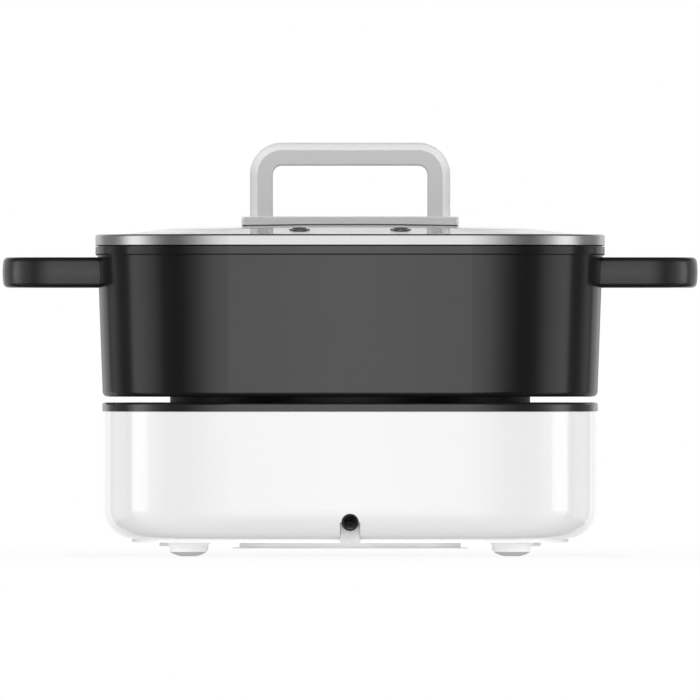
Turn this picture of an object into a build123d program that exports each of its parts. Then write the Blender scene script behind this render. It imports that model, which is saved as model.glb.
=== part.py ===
from build123d import *
import math
import os

# Electric hot pot: a square pot with two loop handles and a domed glass lid, standing on a heated base.
# All sizes are millimetres. The origin is on the worktop, under the centre of the base, and +Z is up.
# The mains cord leaves the base on the -Y side, and the control knob is on the +Y side.

# ---------------------------------------------------------------- driving sizes

# Plan outline that the base, the pot and the lid share: bowed sides and round corners
base_half_width = 136.0
plan_corner_radius = 72.0
side_bow_radius = 1200.0

# Clearances
fit_gap = 0.3          # between moulded parts that locate each other
close_gap = 0.05       # round shafts, screws and pressed-in parts
slide_gap = 0.4        # between the sensor cup and its guide

# Base housing and its underside
foot_height = 7.5
cover_thickness = 1.7
cover_inset = 16.0      # of the cover's edge inside the housing's side
cover_rib_height = 5.0
cover_rib_thickness = 2.0
cover_ledge = 8.0      # width of the housing's underside that stands on the cover
housing_height = 69.9
housing_wall = 2.6
housing_foot_radius = 16.0

# Deck that closes the housing
deck_thickness = 4.7
deck_overhang = 0.2
deck_edge_radius = 1.0
deck_skirt_depth = 6.0
deck_skirt_thickness = 2.0
deck_post_radius = 4.5
deck_post_inset = 11.0  # of the posts inside the housing's opening

# Feet
foot_inset = 47.5       # of each foot's centre inside the housing's side
foot_rim_radius = 11.9
foot_waist_radius = 10.1
foot_neck_height = 4.6    # where the foot starts to widen to its rim
foot_rim_thickness = 0.6
foot_dome_height = 2.4
foot_dome_bulge = 0.35
foot_flare_sag = 0.4       # hollow of the flare under the rim
foot_pad_radius = 4.0
foot_stem_radius = 3.0
foot_barb_radius = 3.8
foot_barb_height = 1.8

# Vent boss under the base
vent_radius = 60.8
vent_lip_radius = 64.7
vent_depth = 4.0
vent_lip_thickness = 0.6
vent_floor = 2.0
vent_wall = 2.5
vent_slot_width = 3.0
vent_slot_pitch = 8.0
vent_slot_margin = 7.0

# Screws
screw_radius = 1.75
screw_head_radius = 3.4
screw_head_height = 2.2
cover_screw_length = 14.0

# Cord outlet
cord_outlet_height = 18.7
cord_radius = 3.75
cord_bush_radius = 4.7
cord_bush_flange_radius = 7.2
cord_bush_flange_thickness = 2.0
cord_bush_length = 19.0
cord_notch_width = 10.9
cord_tab_thickness = 3.0
cord_tab_setback = 9.0     # of the tab's face behind the widest line of the base
cord_clamp_spread = 9.0    # of each clamp screw from the cord's axis
cord_clamp_width = 10.0
cord_clamp_thickness = 3.0
cord_clamp_setback = 28.0  # of the clamp's centre from the widest line of the base
cord_clamp_screw_length = 10.0

# Heating plate
plate_inset = 37.0     # of the plate's edge inside the housing's side
plate_thickness = 7.0
plate_edge_radius = 0.8
plate_deck_gap = 2.0
plate_rib_width = 16.0
plate_rib_depth = 8.0
tube_inset = 29.0      # of the tube's centre line inside the plate's edge
tube_radius = 4.0
tube_arc = 310.0
tube_pin_radius = 1.6
tube_pin_length = 9.0
tube_leg_length = 8.0

# Reflector pan below the heating plate
pan_overhang = 5.0     # of the pan past the plate's edge
pan_thickness = 0.8
pan_drop = 18.0        # of the pan's upper face below the plate's underside
pan_rim_height = 7.0
pan_ear_offset = 9.0   # of the ear screws outside the pan's rim
pan_ear_radius = 6.5
pan_boss_radius = 4.5
pillar_radius = 4.0
pillar_clearance = 2.0 # between the pillars and the plate's rib
pillar_count = 3

# Sprung temperature sensor in the middle of the heating plate
sensor_radius = 12.0
sensor_wall = 1.0
sensor_height = 15.0
sensor_flange = 2.5
sensor_stroke = 2.0
sensor_hole_gap = 2.0
guide_wall = 2.0
guide_lip = 1.2
guide_foot_radius = 22.0
guide_foot_thickness = 1.0
spring_wire_radius = 0.5
spring_turns = 4

# Over-temperature cut-out
cutout_radius = 7.0
cutout_height = 7.0
cutout_flange = 1.5
cutout_tab_width = 4.0
cutout_tab_thickness = 0.8
cutout_tab_length = 5.0

# Control knob and what carries it
knob_offset = 0.15     # of the knob's axis below the middle of the housing
dish_gap = 5.0         # round the knob, in its dish
dish_depth = 6.0
knob_radius = 24.0
knob_depth = 11.0
knob_skin = 2.6
knob_edge_radius = 1.2
knob_flute_radius = 0.65
knob_flute_count = 36
knob_pointer_width = 2.0
knob_pointer_depth = 0.8
shaft_radius = 3.0
shaft_flat = 1.0
potentiometer_width = 17.0
potentiometer_depth = 8.0
bushing_radius = 4.5
nut_width = 12.0
nut_thickness = 2.2
board_thickness = 1.6
control_board_height = 52.0
control_board_left = 46.0
control_board_right = 60.0
control_post_radius = 3.2
control_post_inset = 6.0
control_screw_length = 9.0
lamp_offset = 52.0
lamp_radius = 2.2

# Power board
power_board_length = 136.0
power_board_width = 66.0
power_board_margin = 16.0  # between the board and the housing's opening, on the cord's side
power_board_lift = 8.0     # above the cover
power_post_radius = 3.0
power_post_inset = 5.0
relay_size = (22.0, 16.0, 19.0)
relay_place = (-0.5, -0.2)         # on the board, as shares of its half length and half width
transformer_core_size = (26.0, 18.0, 22.0)
transformer_bobbin_size = (18.0, 26.0, 16.0)
transformer_place = (0.5, -0.1)
capacitor_radius = 6.5
capacitor_height = 21.0
capacitor_place = (0.0, -0.3)
terminal_size = (30.0, 12.0, 13.0)
terminal_place = (0.0, 0.62)
terminal_pitch = 9.0
terminal_screw_radius = 2.2
terminal_bore_radius = 2.0
terminal_bore_drop = 7.0
lead_radius = 1.3
lead_bend_radius = 6.0
lead_drop = 14.0
lead_rise = 12.0
lead_place = (0.6, -0.76)
lead_spread = 4.0

# Pot
pot_gap = 3.4              # between the deck and the pot's underside
pot_flare = 3.0            # of the wall's top past its foot
pot_height = 82.2
pot_wall = 3.0
pot_floor = 4.0
pot_foot_radius = 2.8
pot_inner_radius = 12.0
rim_overhang = 1.0         # of the rim flange past the wall's top
pot_rim_height = 4.7
pot_rim_radius = 0.8
pot_bead_height = 0.6
pot_bead_width = 2.4
pot_bead_radius = 0.5
seat_depth = 2.5
seat_gap = 1.0

# Side handles of the pot
handle_projection = 51.8   # of the handles past the wall's top
handle_top = 1.1           # below the pot's rim flange
handle_thickness = 16.6
handle_half_span = 60.0
handle_corner_radius = 28.0
handle_width = 15.0
handle_crown = 0.8         # bulge of the loop's outer face
handle_outer_edge = 2.8
handle_inner_edge = 3.2
lug_width = 8.6
lug_thickness = 7.6
lug_length = 14.8
lug_screw_offset = 7.6    # of the handle screws past the wall's top

# Lid
lid_rim_height = 6.0
lid_rim_sheet = 1.0
lid_rim_lip = 4.0
lid_skirt_depth = 6.5
lid_skirt_gap = 0.8
lid_top_edge_radius = 1.1
lid_low_edge_radius = 0.35
glass_thickness = 4.0
glass_margin = 4.3         # flat border of the glass, inside the rim's outer face
glass_shoulder_slope = 6.9
glass_shoulder_run = 60.0
dome_radius = 3000.0
dome_rise = 6.5            # of the apex above the flat border
vent_spread = 27.6
vent_margin = 29.5         # of each vent from the glass's flat border
eyelet_radius = 6.0
eyelet_flange = 0.6
eyelet_bore_radius = 1.9
eyelet_wall = 0.8
eyelet_foot_radius = 4.6

# Lid handle
gasket_thickness = 0.6
gasket_inset = 0.4
lid_flange_half_length = 59.7
lid_flange_half_width = 12.5
lid_flange_rise = 4.0     # of the flange's top over the gasket, at the apex
lid_flange_corner = 2.6
lid_flange_edge = 0.7
arch_half_length = 55.1
arch_half_width = 11.0
arch_height = 40.7        # over the flange's top
arch_thickness = 12.6
arch_corner_radius = 17.6
arch_crown = 4.2          # bulge of the grip's outer face
arch_outer_edge = 0.5
arch_inner_edge = 0.6
insert_depth = 14.0
lid_screw_washer_radius = 7.0
lid_screw_washer_thickness = 1.5

# ---------------------------------------------------------------- levels and places that follow

cover_z = foot_height
housing_z = cover_z + cover_thickness
deck_z = housing_z + housing_height
deck_top = deck_z + deck_thickness
pot_z = deck_top + pot_gap
plate_top = pot_z + seat_depth
plate_z = plate_top - plate_thickness
rib_z = plate_z - plate_rib_depth
pan_top = plate_z - pan_drop
pan_z = pan_top - pan_thickness
pot_top = pot_z + pot_height
bead_top = pot_top + pot_bead_height
lid_top = bead_top + lid_rim_height
glass_z = bead_top + lid_rim_sheet
glass_border_top = glass_z + glass_thickness
apex_z = glass_border_top + dome_rise
flange_top = apex_z + gasket_thickness + lid_flange_rise
cover_half_width = base_half_width - cover_inset
opening_half_width = cover_half_width - cover_ledge
foot_spread = base_half_width - foot_inset
board_z = housing_z + power_board_lift
board_top = board_z + board_thickness
board_far = opening_half_width - power_board_margin
board_middle = board_far - power_board_width / 2
plate_radius = base_half_width - plate_inset
tube_ring_radius = plate_radius - tube_inset
rib_outer_radius = tube_ring_radius + plate_rib_width / 2
rib_inner_radius = tube_ring_radius - plate_rib_width / 2
pillar_ring_radius = rib_outer_radius + pillar_clearance + pillar_radius
pan_radius = plate_radius + pan_overhang
pan_ear_reach = pan_radius + pan_ear_offset
cutout_offset = (guide_foot_radius + rib_inner_radius) / 2
pot_bottom_half_width = base_half_width
pot_top_half_width = pot_bottom_half_width + pot_flare
pot_rim_half_width = pot_top_half_width + rim_overhang
handle_reach = pot_top_half_width + handle_projection
shoulder_half_width = pot_rim_half_width - glass_margin
shoulder_rise = math.tan(math.radians(glass_shoulder_slope))
vent_setback = shoulder_half_width - vent_margin
sensor_top = plate_top - fit_gap
guide_bore = sensor_radius + sensor_flange + slide_gap
knob_height = housing_z + housing_height / 2 - knob_offset
dish_radius = knob_radius + dish_gap
dish_floor = base_half_width - dish_depth
potentiometer_front = dish_floor - housing_wall
board_front = potentiometer_front - potentiometer_depth

# ---------------------------------------------------------------- shared shapes

bow_offset = side_bow_radius - base_half_width
corner_centre = (
    math.sqrt(2 * (side_bow_radius - plan_corner_radius) ** 2 - bow_offset**2) - bow_offset
) / 2


def plan(half_width, z):
    """Plan outline at a height, as an offset of the base's outline."""
    growth = half_width - base_half_width
    corner, side = plan_corner_radius + growth, side_bow_radius + growth
    reach = math.hypot(corner_centre, corner_centre + bow_offset)
    x = side * corner_centre / reach
    y = side * (corner_centre + bow_offset) / reach - bow_offset
    middle = corner_centre + corner * math.sqrt(0.5)
    edges = []
    for quarter in range(4):
        turn = Rot(0, 0, -90 * quarter)
        edges.append(turn * ThreePointArc((-x, y), (0, half_width), (x, y)))
        edges.append(turn * ThreePointArc((x, y), (middle, middle), (y, x)))
    return Pos(0, 0, z) * make_face(Wire(edges))


def slab(half_width, z_low, z_high):
    """Solid with the plan outline between two heights."""
    return extrude(plan(half_width, z_low), z_high - z_low)


def band(outer, inner, z_low, z_high):
    """Closed band with the plan outline, between two half widths."""
    return slab(outer, z_low, z_high) - slab(inner, z_low, z_high)


def flared(half_low, z_low, half_high, z_high):
    """Solid whose plan outline grows steadily from one height to another."""
    return loft([plan(half_low, z_low), plan(half_high, z_high)], ruled=True)


def post(radius, z_low, z_high, x=0.0, y=0.0):
    """Upright cylinder."""
    return Pos(x, y, (z_low + z_high) / 2) * Cylinder(radius, z_high - z_low)


def spindle(radius, y_low, y_high, x=0.0, z=0.0):
    """Cylinder that lies along Y."""
    return Pos(x, (y_low + y_high) / 2, z) * Rot(90, 0, 0) * Cylinder(radius, y_high - y_low)


def block(x_low, x_high, y_low, y_high, z_low, z_high):
    """Box between two corners."""
    size = (x_high - x_low, y_high - y_low, z_high - z_low)
    return Pos((x_low + x_high) / 2, (y_low + y_high) / 2, (z_low + z_high) / 2) * Box(*size)


def turned(points):
    """Solid of revolution about Z from a closed outline of radius and height."""
    outline = make_face(Polyline([(r, 0, z) for r, z in points], close=True))
    return revolve(outline, Axis.Z)


def lowest_edges(solid):
    """Edges of a solid at its lowest level."""
    return solid.edges().group_by(Axis.Z)[0]


def highest_edges(solid):
    """Edges of a solid at its highest level."""
    return solid.edges().group_by(Axis.Z)[-1]


def corners(x, y):
    """The four places at plus and minus x and y."""
    return [(sx * x, sy * y) for sx in (-1, 1) for sy in (-1, 1)]


def screw_up(x, y, z_head, length, head_radius=screw_head_radius):
    """Pan-head screw that is driven upwards, with its head's upper face at a height."""
    head = post(head_radius, z_head - screw_head_height, z_head, x, y)
    return head + post(screw_radius, z_head, z_head + length, x, y)


def dome_block(apex, radius):
    """Solid that fills everything under a shallow dome, out past the lid's corners."""
    reach = pot_rim_half_width * math.sqrt(2)
    edge = apex - radius + math.sqrt(radius**2 - reach**2)
    half_way = apex - radius + math.sqrt(radius**2 - (reach / 2) ** 2)
    floor_z = glass_z - lid_skirt_depth
    crown = ThreePointArc((0, 0, apex), (reach / 2, 0, half_way), (reach, 0, edge))
    sides = Polyline((reach, 0, edge), (reach, 0, floor_z), (0, 0, floor_z), (0, 0, apex))
    return revolve(make_face([crown, sides]), Axis.Z)


# ---------------------------------------------------------------- base


def base_housing():
    """White shell with a round-bottomed wall, a dish for the knob and a notch for the cord."""
    outer = slab(base_half_width, housing_z, deck_z)
    outer = fillet(lowest_edges(outer), housing_foot_radius)
    inner = slab(base_half_width - housing_wall, housing_z + housing_wall, deck_z + 1)
    inner = fillet(lowest_edges(inner), housing_foot_radius - housing_wall)
    shell = outer - inner - slab(opening_half_width, housing_z - 1, housing_z + housing_wall + 1)
    wall_middle = base_half_width - housing_wall / 2
    shell += spindle(dish_radius + housing_wall, potentiometer_front, wall_middle, 0, knob_height)
    shell -= spindle(dish_radius, dish_floor, base_half_width + 1, 0, knob_height)
    shell -= spindle(
        bushing_radius + close_gap, potentiometer_front - 1, dish_floor + 1, 0, knob_height
    )
    for x, z in control_board_posts():
        shell += spindle(control_post_radius, board_front, wall_middle, x, z)
        pilot = screw_radius + close_gap
        shell -= spindle(pilot, board_front - 1, wall_middle - housing_wall, x, z)
    lamp_hole = lamp_radius + close_gap
    shell -= spindle(lamp_hole, board_front, base_half_width + 1, lamp_offset, knob_height)
    outside, inside = -base_half_width - 1, -opening_half_width + housing_wall
    half_notch = cord_notch_width / 2
    shell -= spindle(cord_bush_radius + close_gap, outside, inside, 0, cord_outlet_height)
    shell -= block(-half_notch, half_notch, outside, inside, housing_z - 1, cord_outlet_height)
    return shell


def control_board_posts():
    """Places of the screw posts that carry the control board, as x and z."""
    reach = control_board_height / 2 - control_post_inset
    left, right = -control_board_left + control_post_inset, control_board_right - control_post_inset
    return [(x, knob_height + side * reach) for x in (left, right) for side in (-1, 1)]


def bottom_cover():
    """Underside plate with the vent boss, the board's posts and the tab that closes the cord notch."""
    plate = slab(cover_half_width, cover_z, housing_z)
    rib_half = opening_half_width - fit_gap
    rib_top = housing_z + cover_rib_height
    plate += band(rib_half, rib_half - cover_rib_thickness, housing_z, rib_top)
    vent_z = cover_z - vent_depth
    plate += post(vent_radius, vent_z, cover_z)
    plate += post(vent_lip_radius, vent_z, vent_z + vent_lip_thickness)
    plate -= post(vent_radius - vent_wall, vent_z + vent_floor, housing_z + 1)
    slot_reach = vent_radius - vent_slot_margin
    rows = int(slot_reach // vent_slot_pitch)
    for row in range(-rows, rows + 1):
        y = row * vent_slot_pitch
        half_length = math.sqrt(slot_reach**2 - y**2)
        slot = SlotOverall(2 * half_length, vent_slot_width)
        plate -= extrude(Pos(0, y, vent_z - 1) * slot, vent_floor + 2)
    for x, y in corners(foot_spread, foot_spread):
        plate -= post(foot_stem_radius + close_gap, cover_z - 1, housing_z + 1, x, y)
    for x, y in deck_posts():
        plate -= post(screw_radius + fit_gap, cover_z - 1, housing_z + 1, x, y)
    for x, y in power_board_posts():
        plate += post(power_post_radius, housing_z, board_z, x, y)
        plate -= post(screw_radius + close_gap, housing_z, board_z + 1, x, y)
    plate += cord_tab()
    for side in (-1, 1):
        x, y = side * cord_clamp_spread, cord_clamp_setback - base_half_width
        plate += post(cord_clamp_thickness, housing_z, clamp_seat_z(), x, y)
        plate -= post(screw_radius + close_gap, housing_z, clamp_seat_z() + 1, x, y)
    return plate


def clamp_seat_z():
    """Height at which the clamp lies on the cord and on its posts."""
    return cord_outlet_height + cord_radius


def cord_tab():
    """Upright tab that fills the housing's notch below the cord bush."""
    half = cord_notch_width / 2 - fit_gap / 2
    face = cord_tab_setback - base_half_width
    tab = block(-half, half, face, face + cord_tab_thickness, cover_z, cord_outlet_height)
    tab += block(-half, half, face, 1 - cover_half_width, cover_z, housing_z)
    rib_face = fit_gap - opening_half_width
    web_top = cord_outlet_height - cord_bush_flange_radius - fit_gap
    web = block(-half, half, face, rib_face + cover_rib_thickness, cover_z, web_top)
    hole = spindle(cord_bush_radius + close_gap, -base_half_width, rib_face, 0, cord_outlet_height)
    return tab + web - hole


def foot(x, y):
    """Soft foot with a domed underside and a barbed stem through the cover."""
    rim_z = cover_z - foot_rim_thickness
    pad, waist = Vector(foot_pad_radius, 0, 0), Vector(foot_waist_radius, 0, foot_dome_height)
    outwards = (waist - pad).rotate(Axis.Y, 90).normalized()
    dome = ThreePointArc(pad, (pad + waist) / 2 + outwards * foot_dome_bulge, waist)
    neck, rim = Vector(foot_waist_radius, 0, foot_neck_height), Vector(foot_rim_radius, 0, rim_z)
    inwards = (rim - neck).rotate(Axis.Y, -90).normalized()
    flare = ThreePointArc(neck, (neck + rim) / 2 + inwards * foot_flare_sag, rim)
    barb_z = housing_z + close_gap
    barb_top = barb_z + foot_barb_height
    waist_line = Line(waist, neck)
    sides = Polyline(
        (foot_rim_radius, 0, rim_z),
        (foot_rim_radius, 0, cover_z),
        (foot_stem_radius, 0, cover_z),
        (foot_stem_radius, 0, barb_z),
        (foot_barb_radius, 0, barb_z),
        (foot_stem_radius, 0, barb_top),
        (0, 0, barb_top),
        (0, 0, 0),
        (foot_pad_radius, 0, 0),
    )
    return Pos(x, y, 0) * revolve(make_face([dome, waist_line, flare, sides]), Axis.Z)


def top_deck():
    """Dark heat-resistant deck round the heating plate, with the posts that tie the base together."""
    half = base_half_width + deck_overhang
    deck = slab(half, deck_z, deck_top)
    deck = fillet(highest_edges(deck), deck_edge_radius)
    skirt_half = base_half_width - housing_wall - fit_gap
    skirt_z = deck_z - deck_skirt_depth
    deck += band(skirt_half, skirt_half - deck_skirt_thickness, skirt_z, deck_z)
    dish_room = spindle(dish_radius + housing_wall + fit_gap, 0, base_half_width, 0, knob_height)
    deck -= dish_room & slab(base_half_width, skirt_z, deck_z)
    deck -= post(plate_radius + plate_deck_gap, skirt_z, deck_top + 1)
    for x, y in deck_posts():
        deck += post(deck_post_radius, housing_z, deck_z, x, y)
        deck -= post(screw_radius + close_gap, housing_z, housing_z + cover_screw_length, x, y)
    for x, y in pan_ears():
        deck += post(pan_boss_radius, pan_top, deck_z, x, y)
        deck -= post(screw_radius + close_gap, pan_top, deck_z, x, y)
    return deck


def deck_posts():
    """Places of the posts that tie the cover, the housing and the deck together."""
    return corners(opening_half_width - deck_post_inset, opening_half_width / 2)


def cover_screws():
    """Screws that draw the cover, the housing and the deck together."""
    return [screw_up(x, y, cover_z, cover_screw_length) for x, y in deck_posts()]


def pan_ears():
    """Places of the pan's four ear screws."""
    return corners(pan_ear_reach * math.sqrt(0.5), pan_ear_reach * math.sqrt(0.5))


def pillars():
    """Places of the pillars between the pan and the heating plate."""
    turns = [math.radians(90 + 360 * i / pillar_count) for i in range(pillar_count)]
    return [(pillar_ring_radius * math.cos(t), pillar_ring_radius * math.sin(t)) for t in turns]


def tube_ends():
    """Places of the two ends of the heating tube."""
    half_gap = math.radians((360 - tube_arc) / 2)
    x, y = tube_ring_radius * math.cos(half_gap), tube_ring_radius * math.sin(half_gap)
    return [(x, -y), (x, y)]


def heating_plate():
    """Cast plate with a rib that holds the heating tube in a channel."""
    plate = post(plate_radius, plate_z, plate_top)
    plate = fillet(highest_edges(plate), plate_edge_radius)
    plate += post(rib_outer_radius, rib_z, plate_z) - post(rib_inner_radius, rib_z, plate_z)
    channel = tube_radius + close_gap
    tube_z = rib_z + tube_radius
    groove = Pos(tube_ring_radius, 0, tube_z) * Rot(90, 0, 0) * Circle(channel)
    opening = Rectangle(2 * channel, 2 * channel)
    mouth = Pos(tube_ring_radius, 0, tube_z - channel) * Rot(90, 0, 0) * opening
    plate -= revolve(groove + mouth, Axis.Z)
    plate -= post(sensor_radius + sensor_hole_gap, plate_z - 1, plate_top + 1)
    for x, y in pillars():
        plate -= post(screw_radius + close_gap, plate_z - 1, plate_z + plate_thickness / 2, x, y)
    return plate


def heating_tube():
    """Sheathed heating element: an open ring whose ends turn down to terminal pins."""
    tube_z = rib_z + tube_radius
    start = Pos(tube_ring_radius, 0, tube_z) * Rot(90, 0, 0) * Circle(tube_radius)
    ring = revolve(Rot(0, 0, (360 - tube_arc) / 2) * start, Axis.Z, tube_arc)
    for x, y in tube_ends():
        ring += Pos(x, y, tube_z) * Sphere(tube_radius + close_gap / 2)
        ring += post(tube_radius, tube_z - tube_leg_length, tube_z, x, y)
        ring += post(tube_pin_radius, tube_z - tube_leg_length - tube_pin_length, tube_z, x, y)
    return ring


def heat_reflector():
    """Bright sheet pan that hangs under the deck and carries the heating plate."""
    pan = post(pan_radius, pan_z, pan_top + pan_rim_height)
    pan -= post(pan_radius - pan_thickness, pan_top, pan_top + pan_rim_height + 1)
    for x, y in pan_ears():
        ear_turn = math.degrees(math.atan2(y, x))
        arm_start = pan_radius - 2 * pan_ear_radius
        pan += Rot(0, 0, ear_turn) * block(
            arm_start, pan_ear_reach, -pan_ear_radius, pan_ear_radius, pan_z, pan_top
        )
        pan += post(pan_ear_radius, pan_z, pan_top, x, y)
        pan -= post(screw_radius + fit_gap, pan_z - 1, pan_top + 1, x, y)
    for x, y in pillars():
        pan -= post(screw_radius + fit_gap, pan_z - 1, pan_top + 1, x, y)
    for x, y in tube_ends():
        pan -= post(tube_radius + plate_deck_gap, pan_z - 1, pan_top + 1, x, y)
    return pan


def pan_screws():
    """Screws through the pan's ears into the deck's bosses."""
    return [screw_up(x, y, pan_z, deck_z - pan_z - fit_gap) for x, y in pan_ears()]


def plate_pillars():
    """Spacers that hold the heating plate above the pan."""
    bore = screw_radius + close_gap
    return [
        post(pillar_radius, pan_top, plate_z, x, y) - post(bore, pan_top, plate_z, x, y)
        for x, y in pillars()
    ]


def plate_screws():
    """Screws through the pan and the pillars into the heating plate."""
    reach = pan_thickness + pan_drop + plate_thickness / 2 - fit_gap
    return [screw_up(x, y, pan_z, reach) for x, y in pillars()]


def sensor_cup():
    """Thin metal cup that touches the pot's underside and holds the temperature sensor."""
    low, flange_radius = sensor_top - sensor_height, sensor_radius + sensor_flange
    bore = sensor_radius - sensor_wall
    return turned(
        [
            (0, sensor_top),
            (sensor_radius, sensor_top),
            (sensor_radius, low + sensor_wall),
            (flange_radius, low + sensor_wall),
            (flange_radius, low),
            (bore, low),
            (bore, sensor_top - sensor_wall),
            (0, sensor_top - sensor_wall),
        ]
    )


def sensor_guide():
    """Sleeve on the pan in which the sensor cup rides, with a lip that stops it."""
    lip_z = sensor_top - sensor_height + sensor_wall + fit_gap
    outer = guide_bore + guide_wall
    return turned(
        [
            (guide_bore, pan_top),
            (guide_foot_radius, pan_top),
            (guide_foot_radius, pan_top + guide_foot_thickness),
            (outer, pan_top + guide_foot_thickness),
            (outer, lip_z + guide_lip),
            (sensor_radius + slide_gap, lip_z + guide_lip),
            (sensor_radius + slide_gap, lip_z),
            (guide_bore, lip_z),
        ]
    )


def sensor_spring():
    """Coil spring between the pan and the sensor cup's flange."""
    coil_radius = sensor_radius + sensor_flange / 2
    height = sensor_top - sensor_height - pan_top - 2 * spring_wire_radius
    path = Helix(height / spring_turns, height, coil_radius)
    start = Plane(origin=path @ 0, z_dir=path % 0)
    coil = sweep(start * Circle(spring_wire_radius), path=path)
    return Pos(0, 0, pan_top + spring_wire_radius) * coil


def thermal_cutout():
    """Button thermostat against the heating plate's underside, with its two tabs."""
    low = plate_z - cutout_height
    body = post(cutout_radius, low, plate_z, 0, cutout_offset)
    body += post(cutout_radius + cutout_flange, plate_z - cutout_tab_thickness, plate_z, 0, cutout_offset)
    half, half_thickness = cutout_tab_width / 2, cutout_tab_thickness / 2
    y_low, y_high = cutout_offset - half_thickness, cutout_offset + half_thickness
    for x in (-cutout_radius / 2, cutout_radius / 2):
        body += block(x - half, x + half, y_low, y_high, low - cutout_tab_length, low)
    return body


# ---------------------------------------------------------------- knob and electronics


def control_knob():
    """Fluted knob with a pointer groove and a socket for the D-shaped shaft."""
    back, front = dish_floor + fit_gap, dish_floor + fit_gap + knob_depth
    knob = spindle(knob_radius, back, front, 0, knob_height)
    knob = fillet(knob.edges().group_by(Axis.Y)[-1], knob_edge_radius)
    hub_radius = shaft_radius + knob_skin
    hollow = spindle(knob_radius - knob_skin, back - 1, front - knob_skin, 0, knob_height)
    knob -= hollow - spindle(hub_radius, back, front, 0, knob_height)
    for i in range(knob_flute_count):
        turn = math.radians(360 * (i + 0.5) / knob_flute_count)
        x, z = knob_radius * math.cos(turn), knob_height + knob_radius * math.sin(turn)
        knob -= spindle(knob_flute_radius, back - 1, front - knob_skin, x, z)
    pointer_low, half = knob_height + knob_radius / 3, knob_pointer_width / 2
    pointer_high = knob_height + knob_radius - knob_skin
    knob -= block(-half, half, front - knob_pointer_depth, front + 1, pointer_low, pointer_high)
    # The nut on the bushing and the shaft fit inside the hub's end
    nut_room = back + nut_thickness
    knob -= spindle(nut_width / 2 + 1, back - 1, nut_room, 0, knob_height)
    return knob - d_shaft(nut_room - 1, front - knob_skin, close_gap)


def d_shaft(y_low, y_high, growth=0.0):
    """Round shaft with one flat, along Y at the knob's height."""
    radius = shaft_radius + growth
    shaft = spindle(radius, y_low, y_high, 0, knob_height)
    flat_z = knob_height + shaft_radius - shaft_flat + growth
    return shaft - block(-radius, radius, y_low - 1, y_high + 1, flat_z, flat_z + radius)


def knob_shaft():
    """Shaft that turns with the knob: round in its bushing, D-shaped in the knob."""
    back, front = dish_floor + fit_gap, dish_floor + fit_gap + knob_depth
    tip = front - knob_skin - fit_gap
    bearing = spindle(shaft_radius, potentiometer_front, back + nut_thickness, 0, knob_height)
    return bearing + d_shaft(back + nut_thickness, tip)


def potentiometer():
    """Rotary control behind the dish, with its threaded bushing."""
    half = potentiometer_width / 2
    low_z, high_z = knob_height - half, knob_height + half
    body = block(-half, half, board_front, potentiometer_front, low_z, high_z)
    body += spindle(bushing_radius, potentiometer_front, dish_floor + nut_thickness, 0, knob_height)
    return body - spindle(
        shaft_radius + close_gap, potentiometer_front, dish_floor + nut_thickness + 1, 0, knob_height
    )


def bushing_nut():
    """Hexagon nut that clamps the control to the dish."""
    nut = extrude(RegularPolygon(nut_width / 2, 6), nut_thickness)
    nut = Pos(0, dish_floor + nut_thickness, knob_height) * Rot(90, 0, 0) * nut
    bore = bushing_radius + close_gap
    return nut - spindle(bore, dish_floor - 1, dish_floor + nut_thickness + 1, 0, knob_height)


def control_board():
    """Upright circuit board behind the knob."""
    back = board_front - board_thickness
    half = control_board_height / 2
    low_z, high_z = knob_height - half, knob_height + half
    board = block(-control_board_left, control_board_right, back, board_front, low_z, high_z)
    for x, z in control_board_posts():
        board -= spindle(screw_radius + fit_gap, back - 1, board_front + 1, x, z)
    return board


def control_board_screws():
    """Screws that hold the control board to the housing's posts."""
    back = board_front - board_thickness
    return [
        spindle(screw_head_radius, back - screw_head_height, back, x, z)
        + spindle(screw_radius, back, back + control_screw_length, x, z)
        for x, z in control_board_posts()
    ]


def lamp_lens():
    """Light pipe from the control board to the housing's face."""
    face = base_half_width - lamp_offset**2 / (2 * side_bow_radius)
    return spindle(lamp_radius, board_front, face, lamp_offset, knob_height)


def power_board_posts():
    """Places of the posts under the power board."""
    half = power_board_length / 2 - power_post_inset
    reach = power_board_width / 2 - power_post_inset
    return [(x, y) for x in (-half, half) for y in (reach - board_middle, -reach - board_middle)]


def power_board():
    """Circuit board that switches the heating tube."""
    half = power_board_length / 2
    board = block(-half, half, -board_far, power_board_width - board_far, board_z, board_top)
    for x, y in power_board_posts():
        board -= post(screw_radius + fit_gap, board_z - 1, board_top + 1, x, y)
    return board


def power_board_screws():
    """Screws that hold the power board to the cover's posts."""
    length = board_thickness + power_board_lift - 1
    return [
        post(screw_head_radius, board_top, board_top + screw_head_height, x, y)
        + post(screw_radius, board_top - length, board_top, x, y)
        for x, y in power_board_posts()
    ]


def board_point(place):
    """Point on the power board, given as shares of its half length and half width."""
    return place[0] * power_board_length / 2, -board_middle - place[1] * power_board_width / 2


def on_power_board(place, size):
    """Box of some width, depth and height that stands on the power board."""
    (x, y), (width, depth, height) = board_point(place), size
    return block(x - width / 2, x + width / 2, y - depth / 2, y + depth / 2, board_top, board_top + height)


def power_relay():
    """Relay that switches the heater."""
    return on_power_board(relay_place, relay_size)


def power_transformer():
    """Supply transformer with its bobbin."""
    core = on_power_board(transformer_place, transformer_core_size)
    return core + on_power_board(transformer_place, transformer_bobbin_size)


def filter_capacitor():
    """Round filter capacitor."""
    return post(capacitor_radius, board_top, board_top + capacitor_height, *board_point(capacitor_place))


def terminal_block():
    """Screw terminal for the mains cord's three cores."""
    body = on_power_board(terminal_place, terminal_size)
    top, (x, y) = board_top + terminal_size[2], board_point(terminal_place)
    face = y - terminal_size[1] / 2
    for i in (-1, 0, 1):
        core_x = x + terminal_pitch * i
        body -= post(terminal_screw_radius, top - terminal_screw_radius, top + 1, core_x, y)
        body -= spindle(terminal_bore_radius, face - 1, y, core_x, top - terminal_bore_drop)
    return body


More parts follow.
